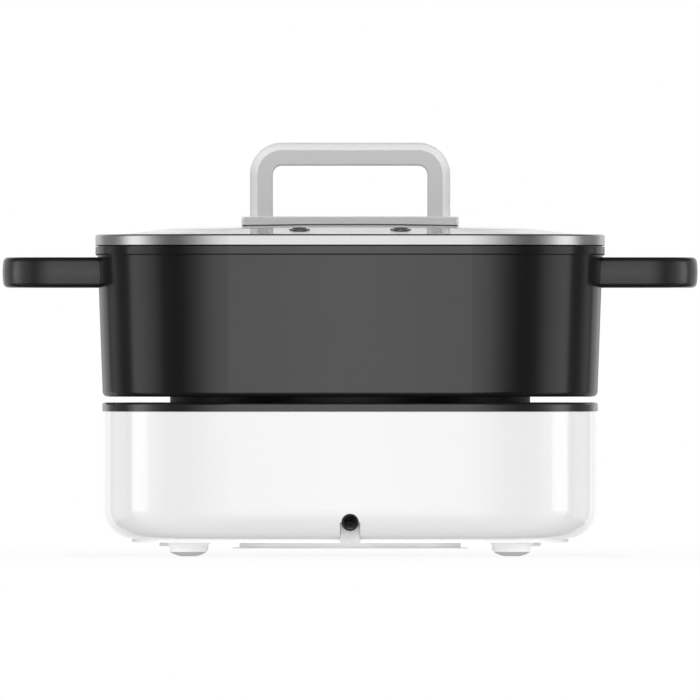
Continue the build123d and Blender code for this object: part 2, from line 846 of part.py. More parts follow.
def heater_leads():
    """Two insulated leads from the relay's side of the board to the heating tube's pins."""
    pin_z = rib_z + tube_radius - tube_leg_length - tube_pin_length
    foot_x, foot_y = board_point(lead_place)
    leads = []
    for side, (x, y) in zip((-1, 1), tube_ends()):
        low_y = foot_y + side * lead_spread
        route = [(x, y, pin_z), (x, y, pin_z - lead_drop)]
        route += [(foot_x, low_y, board_top + lead_rise), (foot_x, low_y, board_top)]
        path = FilletPolyline(*route, radius=lead_bend_radius)
        start = Plane(origin=path @ 0, z_dir=path % 0)
        leads.append(sweep(start * Circle(lead_radius), path=path))
    return leads


def cord_bush():
    """Rubber bush in the cord outlet, with a flange behind the tab."""
    front = -base_half_width + housing_foot_radius - math.sqrt(
        housing_foot_radius**2 - (housing_z + housing_foot_radius - cord_outlet_height) ** 2
    )
    back = front + cord_bush_length
    flange = cord_tab_setback - base_half_width + cord_tab_thickness + fit_gap / 2
    bush = spindle(cord_bush_radius, front, back, 0, cord_outlet_height)
    bush += spindle(
        cord_bush_flange_radius, flange, flange + cord_bush_flange_thickness, 0, cord_outlet_height
    )
    return bush - spindle(cord_radius, front - 1, back + 1, 0, cord_outlet_height)


def cord_clamp():
    """Bar that grips the cord inside the base."""
    y, seat = cord_clamp_setback - base_half_width, clamp_seat_z()
    half_length, half_width = cord_clamp_spread + cord_clamp_width / 2, cord_clamp_width / 2
    top = seat + cord_clamp_thickness
    bar = block(-half_length, half_length, y - half_width, y + half_width, seat, top)
    for x in (-cord_clamp_spread, cord_clamp_spread):
        bar -= post(screw_radius + fit_gap, seat - 1, top + 1, x, y)
    return bar


def cord_clamp_screws():
    """Screws that tighten the cord clamp."""
    y, top = cord_clamp_setback - base_half_width, clamp_seat_z() + cord_clamp_thickness
    return [
        post(screw_head_radius, top, top + screw_head_height, x, y)
        + post(screw_radius, top - cord_clamp_screw_length, top, x, y)
        for x in (-cord_clamp_spread, cord_clamp_spread)
    ]


# ---------------------------------------------------------------- pot


def pot_envelope(growth, z_low=None, z_high=None):
    """Outside of the pot's tapering wall, grown by a clearance, between two heights."""
    z_low, z_high = pot_z if z_low is None else z_low, pot_top if z_high is None else z_high
    slope = (pot_top_half_width - pot_bottom_half_width) / pot_height

    def half(z):
        return pot_bottom_half_width + slope * (z - pot_z) + growth

    return flared(half(z_low), z_low, half(z_high), z_high)


def lug_places():
    """Side and y of each of the pot's four handle lugs."""
    y = handle_half_span - handle_width / 2
    return [(side, sign * y) for side in (-1, 1) for sign in (-1, 1)]


def handle_z():
    """Lowest and highest level of the pot's side handles."""
    high = pot_top - pot_rim_height - handle_top
    return high - handle_thickness, high


def lug_screw_x():
    """Distance of the handle screws from the centre plane."""
    return pot_top_half_width + lug_screw_offset


def pot_body():
    """Cast pot with a tapering wall, a rim flange, handle lugs and a seat for the heating plate."""
    pot = fillet(lowest_edges(pot_envelope(0)), pot_foot_radius)
    rim = slab(pot_rim_half_width, pot_top - pot_rim_height, pot_top)
    pot += fillet(lowest_edges(rim), pot_rim_radius)
    mouth = pot_top_half_width - pot_wall
    bead = slab(mouth + pot_bead_width, pot_top, bead_top)
    pot += fillet(highest_edges(bead), pot_bead_radius)
    for lug in pot_lugs():
        pot += lug
    cavity = flared(pot_bottom_half_width - pot_wall, plate_top + pot_floor, mouth, bead_top + 1)
    pot -= fillet(lowest_edges(cavity), pot_inner_radius)
    return pot - post(plate_radius + seat_gap, pot_z - 1, plate_top)


def pot_lugs():
    """Tongues under the rim, with a screw hole each, that the handles slide over."""
    low, high = handle_z()
    middle = (low + high) / 2
    z_low, z_high = middle - lug_thickness / 2, middle + lug_thickness / 2
    near, far = pot_bottom_half_width / 2, pot_top_half_width + lug_length
    lugs = []
    for side, y in lug_places():
        lug = block(near, far, y - lug_width / 2, y + lug_width / 2, z_low, z_high)
        lug -= post(screw_radius + close_gap, low, middle + 1, lug_screw_x(), y)
        lugs.append(lug if side > 0 else mirror(lug, Plane.YZ))
    return lugs


def pot_handle(side):
    """Loop handle that slides over two lugs of the pot, held by screws from below."""
    low, high = handle_z()
    middle = (low + high) / 2
    start = pot_bottom_half_width - plan_corner_radius
    size = (handle_width, handle_thickness, handle_crown, handle_outer_edge, handle_inner_edge)
    loop = grip_loop(crowned_section(*size), start, handle_reach, handle_half_span, handle_corner_radius)
    handle = Pos(0, 0, middle) * loop
    handle -= pot_envelope(close_gap * 3)
    half_width, half_thickness = lug_width / 2 + close_gap * 3, lug_thickness / 2 + close_gap * 3
    far = pot_top_half_width + lug_length + fit_gap
    for _, y in lug_places()[2:]:
        y_low, y_high = y - half_width, y + half_width
        handle -= block(start, far, y_low, y_high, middle - half_thickness, middle + half_thickness)
        handle -= post(screw_radius + fit_gap, low - 1, middle, lug_screw_x(), y)
        handle -= post(screw_head_radius + fit_gap, low - 1, low + screw_head_height, lug_screw_x(), y)
    return handle if side > 0 else mirror(handle, Plane.YZ)


def crowned_section(width, height, crown, outer_edge, inner_edge):
    """Section of a grip, from its outermost point at x = 0 inwards, with a crowned outer face."""
    half = height / 2
    face = ThreePointArc((crown, half), (0, 0), (crown, -half))
    sides = Polyline((crown, -half), (width, -half), (width, half), (crown, half))
    section = make_face([face, sides])
    section = fillet(section.vertices().group_by(Axis.X)[-1], inner_edge)
    creases = section.vertices().filter_by(lambda v: abs(v.X - crown) < 0.001)
    return fillet(creases, outer_edge)


def grip_loop(section, start, reach, half_span, corner_radius):
    """U-shaped grip of one section, level at z = 0: legs along X, round corners and a bar along Y."""
    bend_x, bend_y = reach - corner_radius, half_span - corner_radius
    at_start = Plane(origin=(start, -half_span, 0), x_dir=(0, 1, 0), z_dir=(1, 0, 0))
    at_bend = Plane(origin=(bend_x, -half_span, 0), x_dir=(0, 1, 0), z_dir=(1, 0, 0))
    at_bar = Plane(origin=(reach, -bend_y, 0), x_dir=(-1, 0, 0), z_dir=(0, 1, 0))
    half = extrude(at_start * section, bend_x - start)
    half += revolve(at_bend * section, Axis((bend_x, -bend_y, 0), (0, 0, 1)), 90)
    half += extrude(at_bar * section, bend_y)
    return half + mirror(half, Plane.XZ)


def pot_handle_screws():
    """Screws from under the handles into the pot's lugs."""
    low, high = handle_z()
    length = (high - low) / 2 - screw_head_height
    return [screw_up(side * lug_screw_x(), y, low + screw_head_height, length) for side, y in lug_places()]


# ---------------------------------------------------------------- lid


def lid_rim():
    """Steel rim folded round the glass, with a skirt that drops into the pot's mouth."""
    half = pot_rim_half_width
    skirt_half = pot_top_half_width - pot_wall - lid_skirt_gap
    body = slab(half, bead_top, lid_top)
    body = fillet(highest_edges(body), lid_top_edge_radius)
    body = fillet(lowest_edges(body), lid_low_edge_radius)
    body -= slab(half - lid_rim_lip, glass_z, lid_top + 1)
    body -= slab(half - lid_rim_sheet, glass_z, lid_top - lid_rim_sheet)
    skirt_inner = skirt_half - lid_rim_sheet
    body += slab(skirt_half, bead_top - lid_skirt_depth, bead_top)
    return body - slab(skirt_inner, bead_top - lid_skirt_depth - 1, glass_z + 1)


def shoulder_frame(x, y):
    """Plane on the sloping shoulder of the glass, on the cord's side, with its normal outwards."""
    reach = math.hypot(x, bow_offset - y)
    half_here = reach - bow_offset
    z = glass_border_top + (shoulder_half_width - half_here) * shoulder_rise
    slope = math.radians(glass_shoulder_slope)
    normal = (math.sin(slope) * x / reach, -math.sin(slope) * (bow_offset - y) / reach, math.cos(slope))
    return Plane(origin=(x, y, z), x_dir=(1, 0, 0), z_dir=normal)


def vent_frames():
    """Planes of the two steam vents."""
    return [shoulder_frame(side * vent_spread, -vent_setback) for side in (-1, 1)]


def lid_glass():
    """Toughened glass: a flat border, a sloping shoulder and a shallow dome."""
    upright = glass_thickness / math.cos(math.radians(glass_shoulder_slope))
    inner_half = shoulder_half_width - glass_shoulder_run

    def shoulder(lower, extra):
        z_low = glass_border_top - lower
        z_high = z_low + glass_shoulder_run * shoulder_rise
        start = flared(shoulder_half_width, z_low, inner_half, z_high)
        return start & dome_block(apex_z - extra, dome_radius - extra)

    glass = slab(pot_rim_half_width - lid_rim_sheet - fit_gap, glass_z, glass_border_top)
    glass += shoulder(0, 0)
    glass -= shoulder(upright, glass_thickness)
    glass -= slab(shoulder_half_width - upright / shoulder_rise * 0.02, glass_z - upright, glass_z)
    for frame in vent_frames():
        glass -= frame * Cylinder(eyelet_bore_radius + eyelet_wall + close_gap, 4 * glass_thickness)
    for x in lid_screw_places():
        glass -= post(screw_radius + 2 * fit_gap, glass_z, apex_z + 1, x, 0)
    return glass


def steam_vents():
    """Steel eyelets in the two steam holes."""
    outer, tube = eyelet_radius, eyelet_bore_radius + eyelet_wall
    lift = eyelet_flange
    below = -glass_thickness - close_gap
    eyelet = turned(
        [
            (eyelet_bore_radius, lift),
            (outer - lift, lift),
            (outer, close_gap),
            (tube, close_gap),
            (tube, below),
            (eyelet_foot_radius, below),
            (eyelet_foot_radius, below - lift),
            (eyelet_bore_radius, below - lift),
        ]
    )
    return [frame.location * eyelet for frame in vent_frames()]


def lid_screw_places():
    """x of the two screws that hold the lid's handle, under its legs."""
    x = arch_half_length - arch_thickness / 2
    return [-x, x]


def arch():
    """Grip of the lid's handle: flat faces, a crowned outer side and crisp inner edges."""
    foot_z, top = flange_top - arch_thickness, flange_top + arch_height
    size = (arch_thickness, 2 * arch_half_width, arch_crown, arch_outer_edge, arch_inner_edge)
    upright = Plane(origin=(0, 0, 0), x_dir=(0, 0, 1), z_dir=(0, 1, 0))
    return upright * grip_loop(crowned_section(*size), foot_z, top, arch_half_length, arch_corner_radius)


def lid_handle():
    """Arch handle moulded in one piece with a flange that follows the dome."""
    foot_z = apex_z - arch_thickness
    plate = RectangleRounded(2 * lid_flange_half_length, 2 * lid_flange_half_width, lid_flange_corner)
    flange = extrude(Pos(0, 0, foot_z) * plate, flange_top - foot_z)
    handle = arch() + fillet(highest_edges(flange), lid_flange_edge)
    handle -= dome_block(apex_z + gasket_thickness, dome_radius + gasket_thickness)
    for x in lid_screw_places():
        handle -= post(screw_radius + close_gap, foot_z, flange_top + insert_depth, x, 0)
    return handle


def handle_gasket():
    """Soft pad between the handle's flange and the glass."""
    half_length, half_width = lid_flange_half_length - gasket_inset, lid_flange_half_width - gasket_inset
    outline = Pos(0, 0, glass_z) * RectangleRounded(2 * half_length, 2 * half_width, lid_flange_corner)
    pad = extrude(outline, flange_top - glass_z)
    pad = pad & dome_block(apex_z + gasket_thickness, dome_radius + gasket_thickness)
    pad -= dome_block(apex_z, dome_radius)
    for x in lid_screw_places():
        pad -= post(screw_radius + fit_gap, glass_z, flange_top, x, 0)
    return pad


def washer_level():
    """Height of the underside of the washers below the glass."""
    x = lid_screw_places()[1] + lid_screw_washer_radius
    drop = dome_radius - math.sqrt(dome_radius**2 - x**2)
    return apex_z - glass_thickness - drop - lid_screw_washer_thickness


def lid_handle_washers():
    """Soft washers between the screw heads and the glass."""
    under_glass = dome_block(apex_z - glass_thickness, dome_radius - glass_thickness)
    low = washer_level()
    washers = []
    for x in lid_screw_places():
        ring = post(lid_screw_washer_radius, low, apex_z, x, 0)
        ring -= post(screw_radius + close_gap, low, apex_z, x, 0)
        washers.append(ring & under_glass)
    return washers


def lid_handle_screws():
    """Screws from under the glass into the legs of the lid's handle."""
    low = washer_level()
    return [screw_up(x, 0, low, flange_top + insert_depth - fit_gap - low) for x in lid_screw_places()]


# ---------------------------------------------------------------- build

nodes = {
    "base_housing": base_housing(),
    "bottom_cover": bottom_cover(),
    "cover_screws": cover_screws(),
    "top_deck": top_deck(),
    "heating_plate": heating_plate(),
    "heating_tube": heating_tube(),
    "heat_reflector": heat_reflector(),
    "reflector_screws": pan_screws(),
    "plate_pillars": plate_pillars(),
    "plate_screws": plate_screws(),
    "sensor_cup": sensor_cup(),
    "sensor_guide": sensor_guide(),
    "sensor_spring": sensor_spring(),
    "thermal_cutout": thermal_cutout(),
    "control_knob": control_knob(),
    "knob_shaft": knob_shaft(),
    "potentiometer": potentiometer(),
    "bushing_nut": bushing_nut(),
    "control_board": control_board(),
    "control_board_screws": control_board_screws(),
    "lamp_lens": lamp_lens(),
    "power_board": power_board(),
    "power_board_screws": power_board_screws(),
    "power_relay": power_relay(),
    "power_transformer": power_transformer(),
    "filter_capacitor": filter_capacitor(),
    "terminal_block": terminal_block(),
    "heater_leads": heater_leads(),
    "cord_bush": cord_bush(),
    "cord_clamp": cord_clamp(),
    "cord_clamp_screws": cord_clamp_screws(),
    "pot_body": pot_body(),
    "pot_handle_left": pot_handle(-1),
    "pot_handle_right": pot_handle(1),
    "pot_handle_screws": pot_handle_screws(),
    "lid_rim": lid_rim(),
    "lid_glass": lid_glass(),
    "steam_vents": steam_vents(),
    "lid_handle": lid_handle(),
    "handle_gasket": handle_gasket(),
    "lid_handle_washers": lid_handle_washers(),
    "lid_handle_screws": lid_handle_screws(),
}
foot_names = ("foot_rear_left", "foot_front_left", "foot_rear_right", "foot_front_right")
for name, (x, y) in zip(foot_names, corners(foot_spread, foot_spread)):
    nodes[name] = foot(x, y)

os.makedirs("parts", exist_ok=True)
for name, shape in nodes.items():
    solids = shape if isinstance(shape, list) else [shape]
    export_step(Compound([s for solid in solids for s in solid.solids()]), f"parts/{name}.step")
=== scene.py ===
"""Electric hot pot with a lift-off glass lid: the visual model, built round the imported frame."""

import logging
import math
from collections.abc import Callable, Iterator, Mapping
from contextlib import contextmanager
from dataclasses import dataclass
from enum import Enum

import bmesh
import bpy
from mathutils import Euler, Matrix, Vector


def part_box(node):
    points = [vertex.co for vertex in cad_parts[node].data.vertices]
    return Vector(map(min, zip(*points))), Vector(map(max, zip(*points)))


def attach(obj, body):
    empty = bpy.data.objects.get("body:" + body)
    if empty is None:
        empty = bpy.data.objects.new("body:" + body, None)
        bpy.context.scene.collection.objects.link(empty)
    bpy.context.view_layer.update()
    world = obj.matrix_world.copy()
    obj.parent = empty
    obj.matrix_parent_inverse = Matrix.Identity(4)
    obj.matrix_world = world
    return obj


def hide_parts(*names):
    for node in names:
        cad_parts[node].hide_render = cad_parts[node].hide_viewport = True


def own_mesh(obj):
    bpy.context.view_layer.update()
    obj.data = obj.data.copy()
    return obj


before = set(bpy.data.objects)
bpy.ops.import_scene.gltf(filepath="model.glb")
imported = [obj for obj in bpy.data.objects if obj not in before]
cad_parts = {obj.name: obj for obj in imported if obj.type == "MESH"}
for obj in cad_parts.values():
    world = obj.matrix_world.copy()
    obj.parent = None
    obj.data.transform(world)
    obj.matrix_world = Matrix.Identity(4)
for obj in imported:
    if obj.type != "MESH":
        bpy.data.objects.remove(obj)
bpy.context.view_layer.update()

log = logging.getLogger("hot_pot")

Colour = tuple[float, float, float]
Place = tuple[float, float, float]
Curve = tuple[tuple[float, float], ...]
Node = bpy.types.Node
Piece = bpy.types.Object
Socket = bpy.types.NodeSocket
Sockets = Mapping[str, Socket]

FINISH_MARK = "_finish"
MILLIMETRE = 0.001
WELD_DISTANCE = 0.001 * MILLIMETRE
SMOOTH_ANGLE = math.radians(35)
SHARP_ANGLE = math.radians(60)
HALF_TURN = 180.0
MOSTLY = 0.5  # a face looks along an axis where its normal's part is past this
WHITE = (1.0, 1.0, 1.0, 1.0)
FEET = ("foot_rear_left", "foot_rear_right", "foot_front_left", "foot_front_right")


# ---------------------------------------------------------------- node trees


@dataclass
class Tree:
    """A shader node tree with short calls for adding and joining nodes.

    Args:
        tree: the node tree to write in.
    """

    tree: bpy.types.NodeTree

    def node(self, kind: str, **settings: object) -> Node:
        """Adds a node.

        Args:
            kind: the node's type, without its ShaderNode prefix.
            settings: properties of the node, or what its inputs are fed, as join takes it.

        Returns:
            The new node.
        """
        made = self.tree.nodes.new("ShaderNode" + kind)
        for name, value in settings.items():
            if hasattr(made, name):
                setattr(made, name, value)
            else:
                self.join(value, made.inputs[name.replace("_", " ")])
        return made

    def join(self, source: object, target: Socket) -> None:
        """Feeds an input.

        Args:
            source: the output to link it to, or its own number or colour.
            target: the input.
        """
        if isinstance(source, Socket):
            self.tree.links.new(source, target)
        else:
            target.default_value = source

    def math(self, operation: str, first: object, second: object = None) -> Socket:
        """Adds a Math node.

        Args:
            operation: the Math node's operation.
            first: a socket or a number.
            second: a socket or a number, or nothing where the operation takes one.

        Returns:
            The node's output.
        """
        made = self.node("Math", operation=operation)
        for value, socket in zip((first, second), made.inputs):
            if value is not None:
                self.join(value, socket)
        return made.outputs[0]

    def blend(self, factor: Socket, low: object, high: object) -> Socket:
        """Mixes two colours by a factor that changes over the surface.

        Args:
            factor: the mixing factor.
            low: the colour, or a socket, where the factor is 0.
            high: the colour, or a socket, where it is 1.

        Returns:
            The mixed colour.
        """
        mix = self.node("Mix", data_type="RGBA", Factor=factor)
        for value, socket in ((low, mix.inputs[6]), (high, mix.inputs[7])):
            self.join(value if isinstance(value, Socket) else (*value, 1.0), socket)
        return mix.outputs[2]

    def choose(self, factor: Socket, low: object, high: object) -> Socket:
        """Picks one of two levels.

        Args:
            factor: 0 for the first level and 1 for the second.
            low: a socket or a number.
            high: a socket or a number.

        Returns:
            The level.
        """
        mix = self.node("Mix", data_type="FLOAT")
        for value, number in ((factor, 0), (low, 2), (high, 3)):
            self.join(value, mix.inputs[number])
        return mix.outputs[0]

    def spread(self, value: Socket, low: float, high: float) -> Socket:
        """Maps a value from 0..1 to a range.

        Args:
            value: the value to map.
            low: the result at 0.
            high: the result at 1.

        Returns:
            The mapped value.
        """
        mapped = self.node("MapRange", clamp=True, Value=value, To_Min=low, To_Max=high)
        return mapped.outputs["Result"]

    def sharpen(self, value: Socket, contrast: float) -> Socket:
        """Spreads a value from 0..1 past both ends by the contrast."""
        return self.spread(value, -contrast, 1 + contrast)

    def curve(self, angle: Socket, points: Curve) -> Socket:
        """Turns an angle into a level along a line through some points.

        Args:
            angle: the angle in degrees.
            points: angles, and the level at each.

        Returns:
            The level.
        """
        ramp = self.node("ValToRGB", Fac=self.math("DIVIDE", angle, HALF_TURN))
        elements = ramp.color_ramp.elements
        while len(elements) < len(points):
            elements.new(0.5)
        for element, (degrees, level) in zip(elements, points):
            element.position = degrees / HALF_TURN
            element.color = (level, level, level, 1.0)
        return ramp.outputs["Color"]

    def split(self, vector: Socket) -> tuple[Socket, ...]:
        """Splits a vector into its x, y and z."""
        return tuple(self.node("SeparateXYZ", Vector=vector).outputs)

    def radius(self, x: Socket, y: Socket) -> Socket:
        """Measures how far a place is from the vertical axis."""
        squares = [self.math("POWER", part, 2.0) for part in (x, y)]
        return self.math("SQRT", self.math("ADD", *squares))

    def degrees(self, value: Socket) -> Socket:
        """Turns an angle in radians into degrees, without its sign."""
        return self.math("MULTIPLY", self.math("ABSOLUTE", value), HALF_TURN / math.pi)

    def below(self, value: Socket, limit: float) -> Socket:
        """Makes a mask that is 1 where a value is below a limit."""
        return self.math("LESS_THAN", value, limit)

    def both(self, first: Socket, second: Socket) -> Socket:
        """Makes a mask that is 1 where both masks are."""
        return self.math("MULTIPLY", first, second)

    def seen(self) -> Socket:
        """Makes a mask that is 1 for what is looked at, straight or through glass."""
        path = self.node("LightPath").outputs
        return self.math("MAXIMUM", path["Is Camera Ray"], path["Is Transmission Ray"])


class Pattern(Enum):
    """Shader node groups that several finishes share."""

    GRAIN = "moulded_grain"
    STREAKS = "brushed_streaks"
    HANDLING = "handling_marks"
    RINGS = "turned_rings"


def new_group(
    wanted: Pattern, inputs: dict[str, float], outputs: tuple[str, ...]
) -> tuple[Tree, Sockets, Sockets]:
    """Makes an empty node group with a vector input, named values and outputs.

    Args:
        wanted: the pattern that it will draw.
        inputs: the names and default values of its number inputs.
        outputs: the names of its number outputs.

    Returns:
        The Tree that writes in it, the sockets that it starts from and those it ends at.
    """
    group = bpy.data.node_groups.new(wanted.value, "ShaderNodeTree")
    group.interface.new_socket("Vector", in_out="INPUT", socket_type="NodeSocketVector")
    for label, value in inputs.items():
        socket = group.interface.new_socket(label, in_out="INPUT", socket_type="NodeSocketFloat")
        socket.default_value = value
    for label in outputs:
        group.interface.new_socket(label, in_out="OUTPUT", socket_type="NodeSocketFloat")
    start, end = group.nodes.new("NodeGroupInput"), group.nodes.new("NodeGroupOutput")
    return Tree(group), start.outputs, end.inputs


def grain_group() -> bpy.types.NodeTree:
    """Fine moulded grain: two sizes of noise for bump, and slow cloudiness for colour."""
    tree, start, end = new_group(Pattern.GRAIN, {"Scale": 900.0}, ("Height", "Cloud"))
    fine = tree.node("TexNoise", Vector=start["Vector"], Scale=start["Scale"], Detail=3.0, Roughness=0.6)
    slow = tree.node("TexNoise", Vector=start["Vector"], Scale=14.0, Detail=2.0)
    tree.join(fine.outputs["Fac"], end["Height"])
    tree.join(slow.outputs["Fac"], end["Cloud"])
    return tree.tree


def streaks_group() -> bpy.types.NodeTree:
    """Brushing along the level: noise that is stretched sideways and fine in height."""
    tree, start, end = new_group(Pattern.STREAKS, {"Lines": 9000.0, "Length": 40.0}, ("Streak", "Height"))
    x, y, z = tree.split(start["Vector"])
    along = [tree.math("MULTIPLY", part, start["Length"]) for part in (x, y)]
    lines = tree.math("MULTIPLY", z, start["Lines"])
    stretched = tree.node("CombineXYZ", X=along[0], Y=along[1], Z=lines).outputs[0]
    noise = tree.node("TexNoise", Vector=stretched, Scale=1.0, Detail=3.0, Roughness=0.7)
    tree.join(tree.sharpen(noise.outputs["Fac"], contrast=0.6), end["Streak"])
    tree.join(noise.outputs["Fac"], end["Height"])
    return tree.tree


def handling_group() -> bpy.types.NodeTree:
    """Faint wiping marks that a used surface has in its gloss."""
    tree, start, end = new_group(Pattern.HANDLING, {"Scale": 30.0}, ("Smear",))
    smear = tree.node(
        "TexNoise", Vector=start["Vector"], Scale=start["Scale"], Detail=4.0, Roughness=0.55, Distortion=0.6
    )
    tree.join(tree.sharpen(smear.outputs["Fac"], contrast=0.5), end["Smear"])
    return tree.tree


def rings_group() -> bpy.types.NodeTree:
    """Turning marks: fine rings round the vertical axis."""
    tree, start, end = new_group(Pattern.RINGS, {"Pitch": 0.0006}, ("Ring", "Height"))
    x, y, _ = tree.split(start["Vector"])
    turns = tree.math("DIVIDE", tree.radius(x, y), start["Pitch"])
    wave = tree.math("SINE", tree.math("MULTIPLY", turns, 2 * math.pi))
    noise = tree.node("TexNoise", noise_dimensions="1D", W=turns, Scale=1.0, Detail=2.0)
    tree.join(tree.sharpen(noise.outputs["Fac"], contrast=0.4), end["Ring"])
    tree.join(wave, end["Height"])
    return tree.tree


PATTERN_MAKERS = {
    Pattern.GRAIN: grain_group,
    Pattern.STREAKS: streaks_group,
    Pattern.HANDLING: handling_group,
    Pattern.RINGS: rings_group,
}


# ---------------------------------------------------------------- finishes


@dataclass
class Surface:
    """A material that is being made.

    Args:
        tree: its node tree.
        shader: its Principled BSDF.
        place: the piece's own coordinates.
    """

    tree: Tree
    shader: Node
    place: Socket

    def show(self, value: object, name: str) -> None:
        """Feeds one of the shader's inputs."""
        self.tree.join(value, self.shader.inputs[name])

    def shown(self, name: str) -> Socket:
        """Finds what is linked to one of the shader's inputs."""
        return self.shader.inputs[name].links[0].from_socket

    def spot(self) -> tuple[Socket, ...]:
        """Gives the x, y and z of each place."""
        return self.tree.split(self.place)

    def facing(self) -> tuple[Socket, ...]:
        """Gives the x, y and z of each face's normal."""
        return self.tree.split(self.tree.node("TexCoord").outputs["Normal"])

    def pattern(self, wanted: Pattern, **values: float) -> Sockets:
        """Places a shared pattern, and makes its group the first time.

        Args:
            wanted: which pattern.
            values: its number inputs.

        Returns:
            The group's outputs.
        """
        made = self.tree.node("Group")
        made.node_tree = bpy.data.node_groups.get(wanted.value) or PATTERN_MAKERS[wanted]()
        for name, value in {"Vector": self.place, **values}.items():
            self.tree.join(value, made.inputs[name])
        return made.outputs

    def bump(self, height: Socket, depth: float) -> None:
        """Feeds a height to the shader's normal.

        Args:
            height: the height, from 0 to 1.
            depth: how deep a height of 1 is, in metres.
        """
        bump = self.tree.node("Bump", Strength=1.0, Distance=depth, Height=height)
        self.show(bump.outputs["Normal"], "Normal")

    def over(self, mask: Socket, colour: object) -> None:
        """Lays a second colour, or a socket's, over the base colour where a mask is 1."""
        self.show(self.tree.blend(mask, self.shown("Base Color"), colour), "Base Color")


@dataclass(frozen=True)
class Finish:
    """What a surface is made of.

    Args:
        name: the material's name.
        base: the base colour.
        cloud: the colour that the base drifts towards in slow patches.
        roughness: the roughness where the surface is clean.
        smear: how much handling marks add to the roughness.
        grain: how deep the moulded grain is, in metres.
        grain_scale: how fine the grain is.
        metallic: whether it is bare metal.
        coat: weight of the clear lacquer or gloss skin.
        specular: how strongly the surface mirrors, with 0.5 for plain plastic.
        coat_roughness: the roughness of the gloss skin.
    """

    name: str
    base: Colour
    cloud: Colour
    roughness: float = 0.4
    smear: float = 0.05
    grain: float = 0.00002
    grain_scale: float = 900.0
    metallic: float = 0.0
    coat: float = 0.0
    specular: float = 0.5
    coat_roughness: float = 0.08

    def material(self) -> bpy.types.Material:
        """Makes the material, or returns the one that was made before."""
        label = self.name + FINISH_MARK
        made = bpy.data.materials.get(label)
        if made is not None:
            return made
        made = bpy.data.materials.new(label)
        made.use_nodes = True
        tree = Tree(made.node_tree)
        shader = made.node_tree.nodes["Principled BSDF"]
        surface = Surface(tree, shader, tree.node("TexCoord").outputs["Object"])
        surface.show(self.metallic, "Metallic")
        surface.show(self.specular, "Specular IOR Level")
        surface.show(self.coat, "Coat Weight")
        surface.show(self.coat_roughness, "Coat Roughness")
        self.dress(surface)
        return made

    def dress(self, surface: Surface) -> None:
        """Adds the colour, gloss and bump that change over the surface.

        Args:
            surface: the material that is being made.
        """
        grain = surface.pattern(Pattern.GRAIN, Scale=self.grain_scale)
        marks = surface.pattern(Pattern.HANDLING)
        self.paint(surface, grain["Cloud"], marks["Smear"])
        surface.bump(grain["Height"], self.grain)

    def paint(self, surface: Surface, cloud: Socket, marks: Socket) -> None:
        """Sets the colour and the roughness.

        Args:
            surface: the material that is being made.
            cloud: how far the colour drifts, from 0 to 1.
            marks: how much the surface is marked, from 0 to 1.
        """
        surface.show(surface.tree.blend(cloud, self.base, self.cloud), "Base Color")
        gloss = surface.tree.spread(marks, self.roughness, self.roughness + self.smear)
        surface.show(gloss, "Roughness")


@dataclass(frozen=True)
class Brushed(Finish):
    """Steel that is brushed along the level.

    Args:
        lines: how close the brushing's lines are.
    """

    lines: float = 9000.0

    def dress(self, surface: Surface) -> None:
        """Adds the streaks to colour, gloss and bump.

        Args:
            surface: the material that is being made.
        """
        streaks = surface.pattern(Pattern.STREAKS, Lines=self.lines)
        self.paint(surface, streaks["Streak"], streaks["Streak"])
        surface.bump(streaks["Height"], self.grain)


@dataclass(frozen=True)
class Turned(Finish):
    """Metal with turning marks round the vertical axis.

    Args:
        pitch: the distance from ring to ring, in metres.
    """

    pitch: float = 0.8 * MILLIMETRE

    def dress(self, surface: Surface) -> None:
        """Adds the rings to colour, gloss and bump.

        Args:
            surface: the material that is being made.
        """
        rings = surface.pattern(Pattern.RINGS, Pitch=self.pitch)
        self.paint(surface, rings["Ring"], rings["Ring"])
        surface.bump(rings["Height"], self.grain)


@dataclass(frozen=True)
class Clear(Finish):
    """Toughened glass, faintly green, with wiping marks in its gloss.

    Args:
        index: how strongly it bends light.
        mark_scale: how fine the wiping marks are.
    """

    index: float = 1.5
    mark_scale: float = 18.0

    def dress(self, surface: Surface) -> None:
        """Adds the wiping marks and makes it clear.

        Args:
            surface: the material that is being made.
        """
        surface.show(1.0, "Transmission Weight")
        surface.show(self.index, "IOR")
        marks = surface.pattern(Pattern.HANDLING, Scale=self.mark_scale)
        self.paint(surface, marks["Smear"], marks["Smear"])


@dataclass(frozen=True)
class Lined(Finish):
    """A coat on the outside and a matter lining on the faces that look inwards.

    Args:
        lining: the lining's colour.
        lining_cloud: the colour that the lining drifts towards.
        lining_roughness: the lining's roughness.
        rim_level: height above which upward faces belong to the rim.
        inward: the product of place and normal below which a wall looks inwards, in metres.
    """

    lining: Colour = (0.02, 0.02, 0.02)
    lining_cloud: Colour = (0.03, 0.03, 0.03)
    lining_roughness: float = 0.4
    rim_level: float = 168.0 * MILLIMETRE
    inward: float = -10.0 * MILLIMETRE

    def dress(self, surface: Surface) -> None:
        """Adds the coat, then the lining over it, split by the way each face looks.

        Args:
            surface: the material that is being made.
        """
        super().dress(surface)
        tree, spot, facing = surface.tree, surface.spot(), surface.facing()
        outward = tree.math("ADD", *(tree.math("MULTIPLY", facing[axis], spot[axis]) for axis in (0, 1)))
        upward = tree.math("GREATER_THAN", facing[2], MOSTLY)
        floor = tree.both(upward, tree.below(spot[2], self.rim_level))
        inside = tree.math("MAXIMUM", tree.below(outward, self.inward), floor)
        cloud = surface.pattern(Pattern.GRAIN)["Cloud"]
        surface.over(inside, tree.blend(cloud, self.lining, self.lining_cloud))
        matter = tree.math("MULTIPLY", inside, self.lining_roughness - self.roughness)
        surface.show(tree.math("ADD", surface.shown("Roughness"), matter), "Roughness")


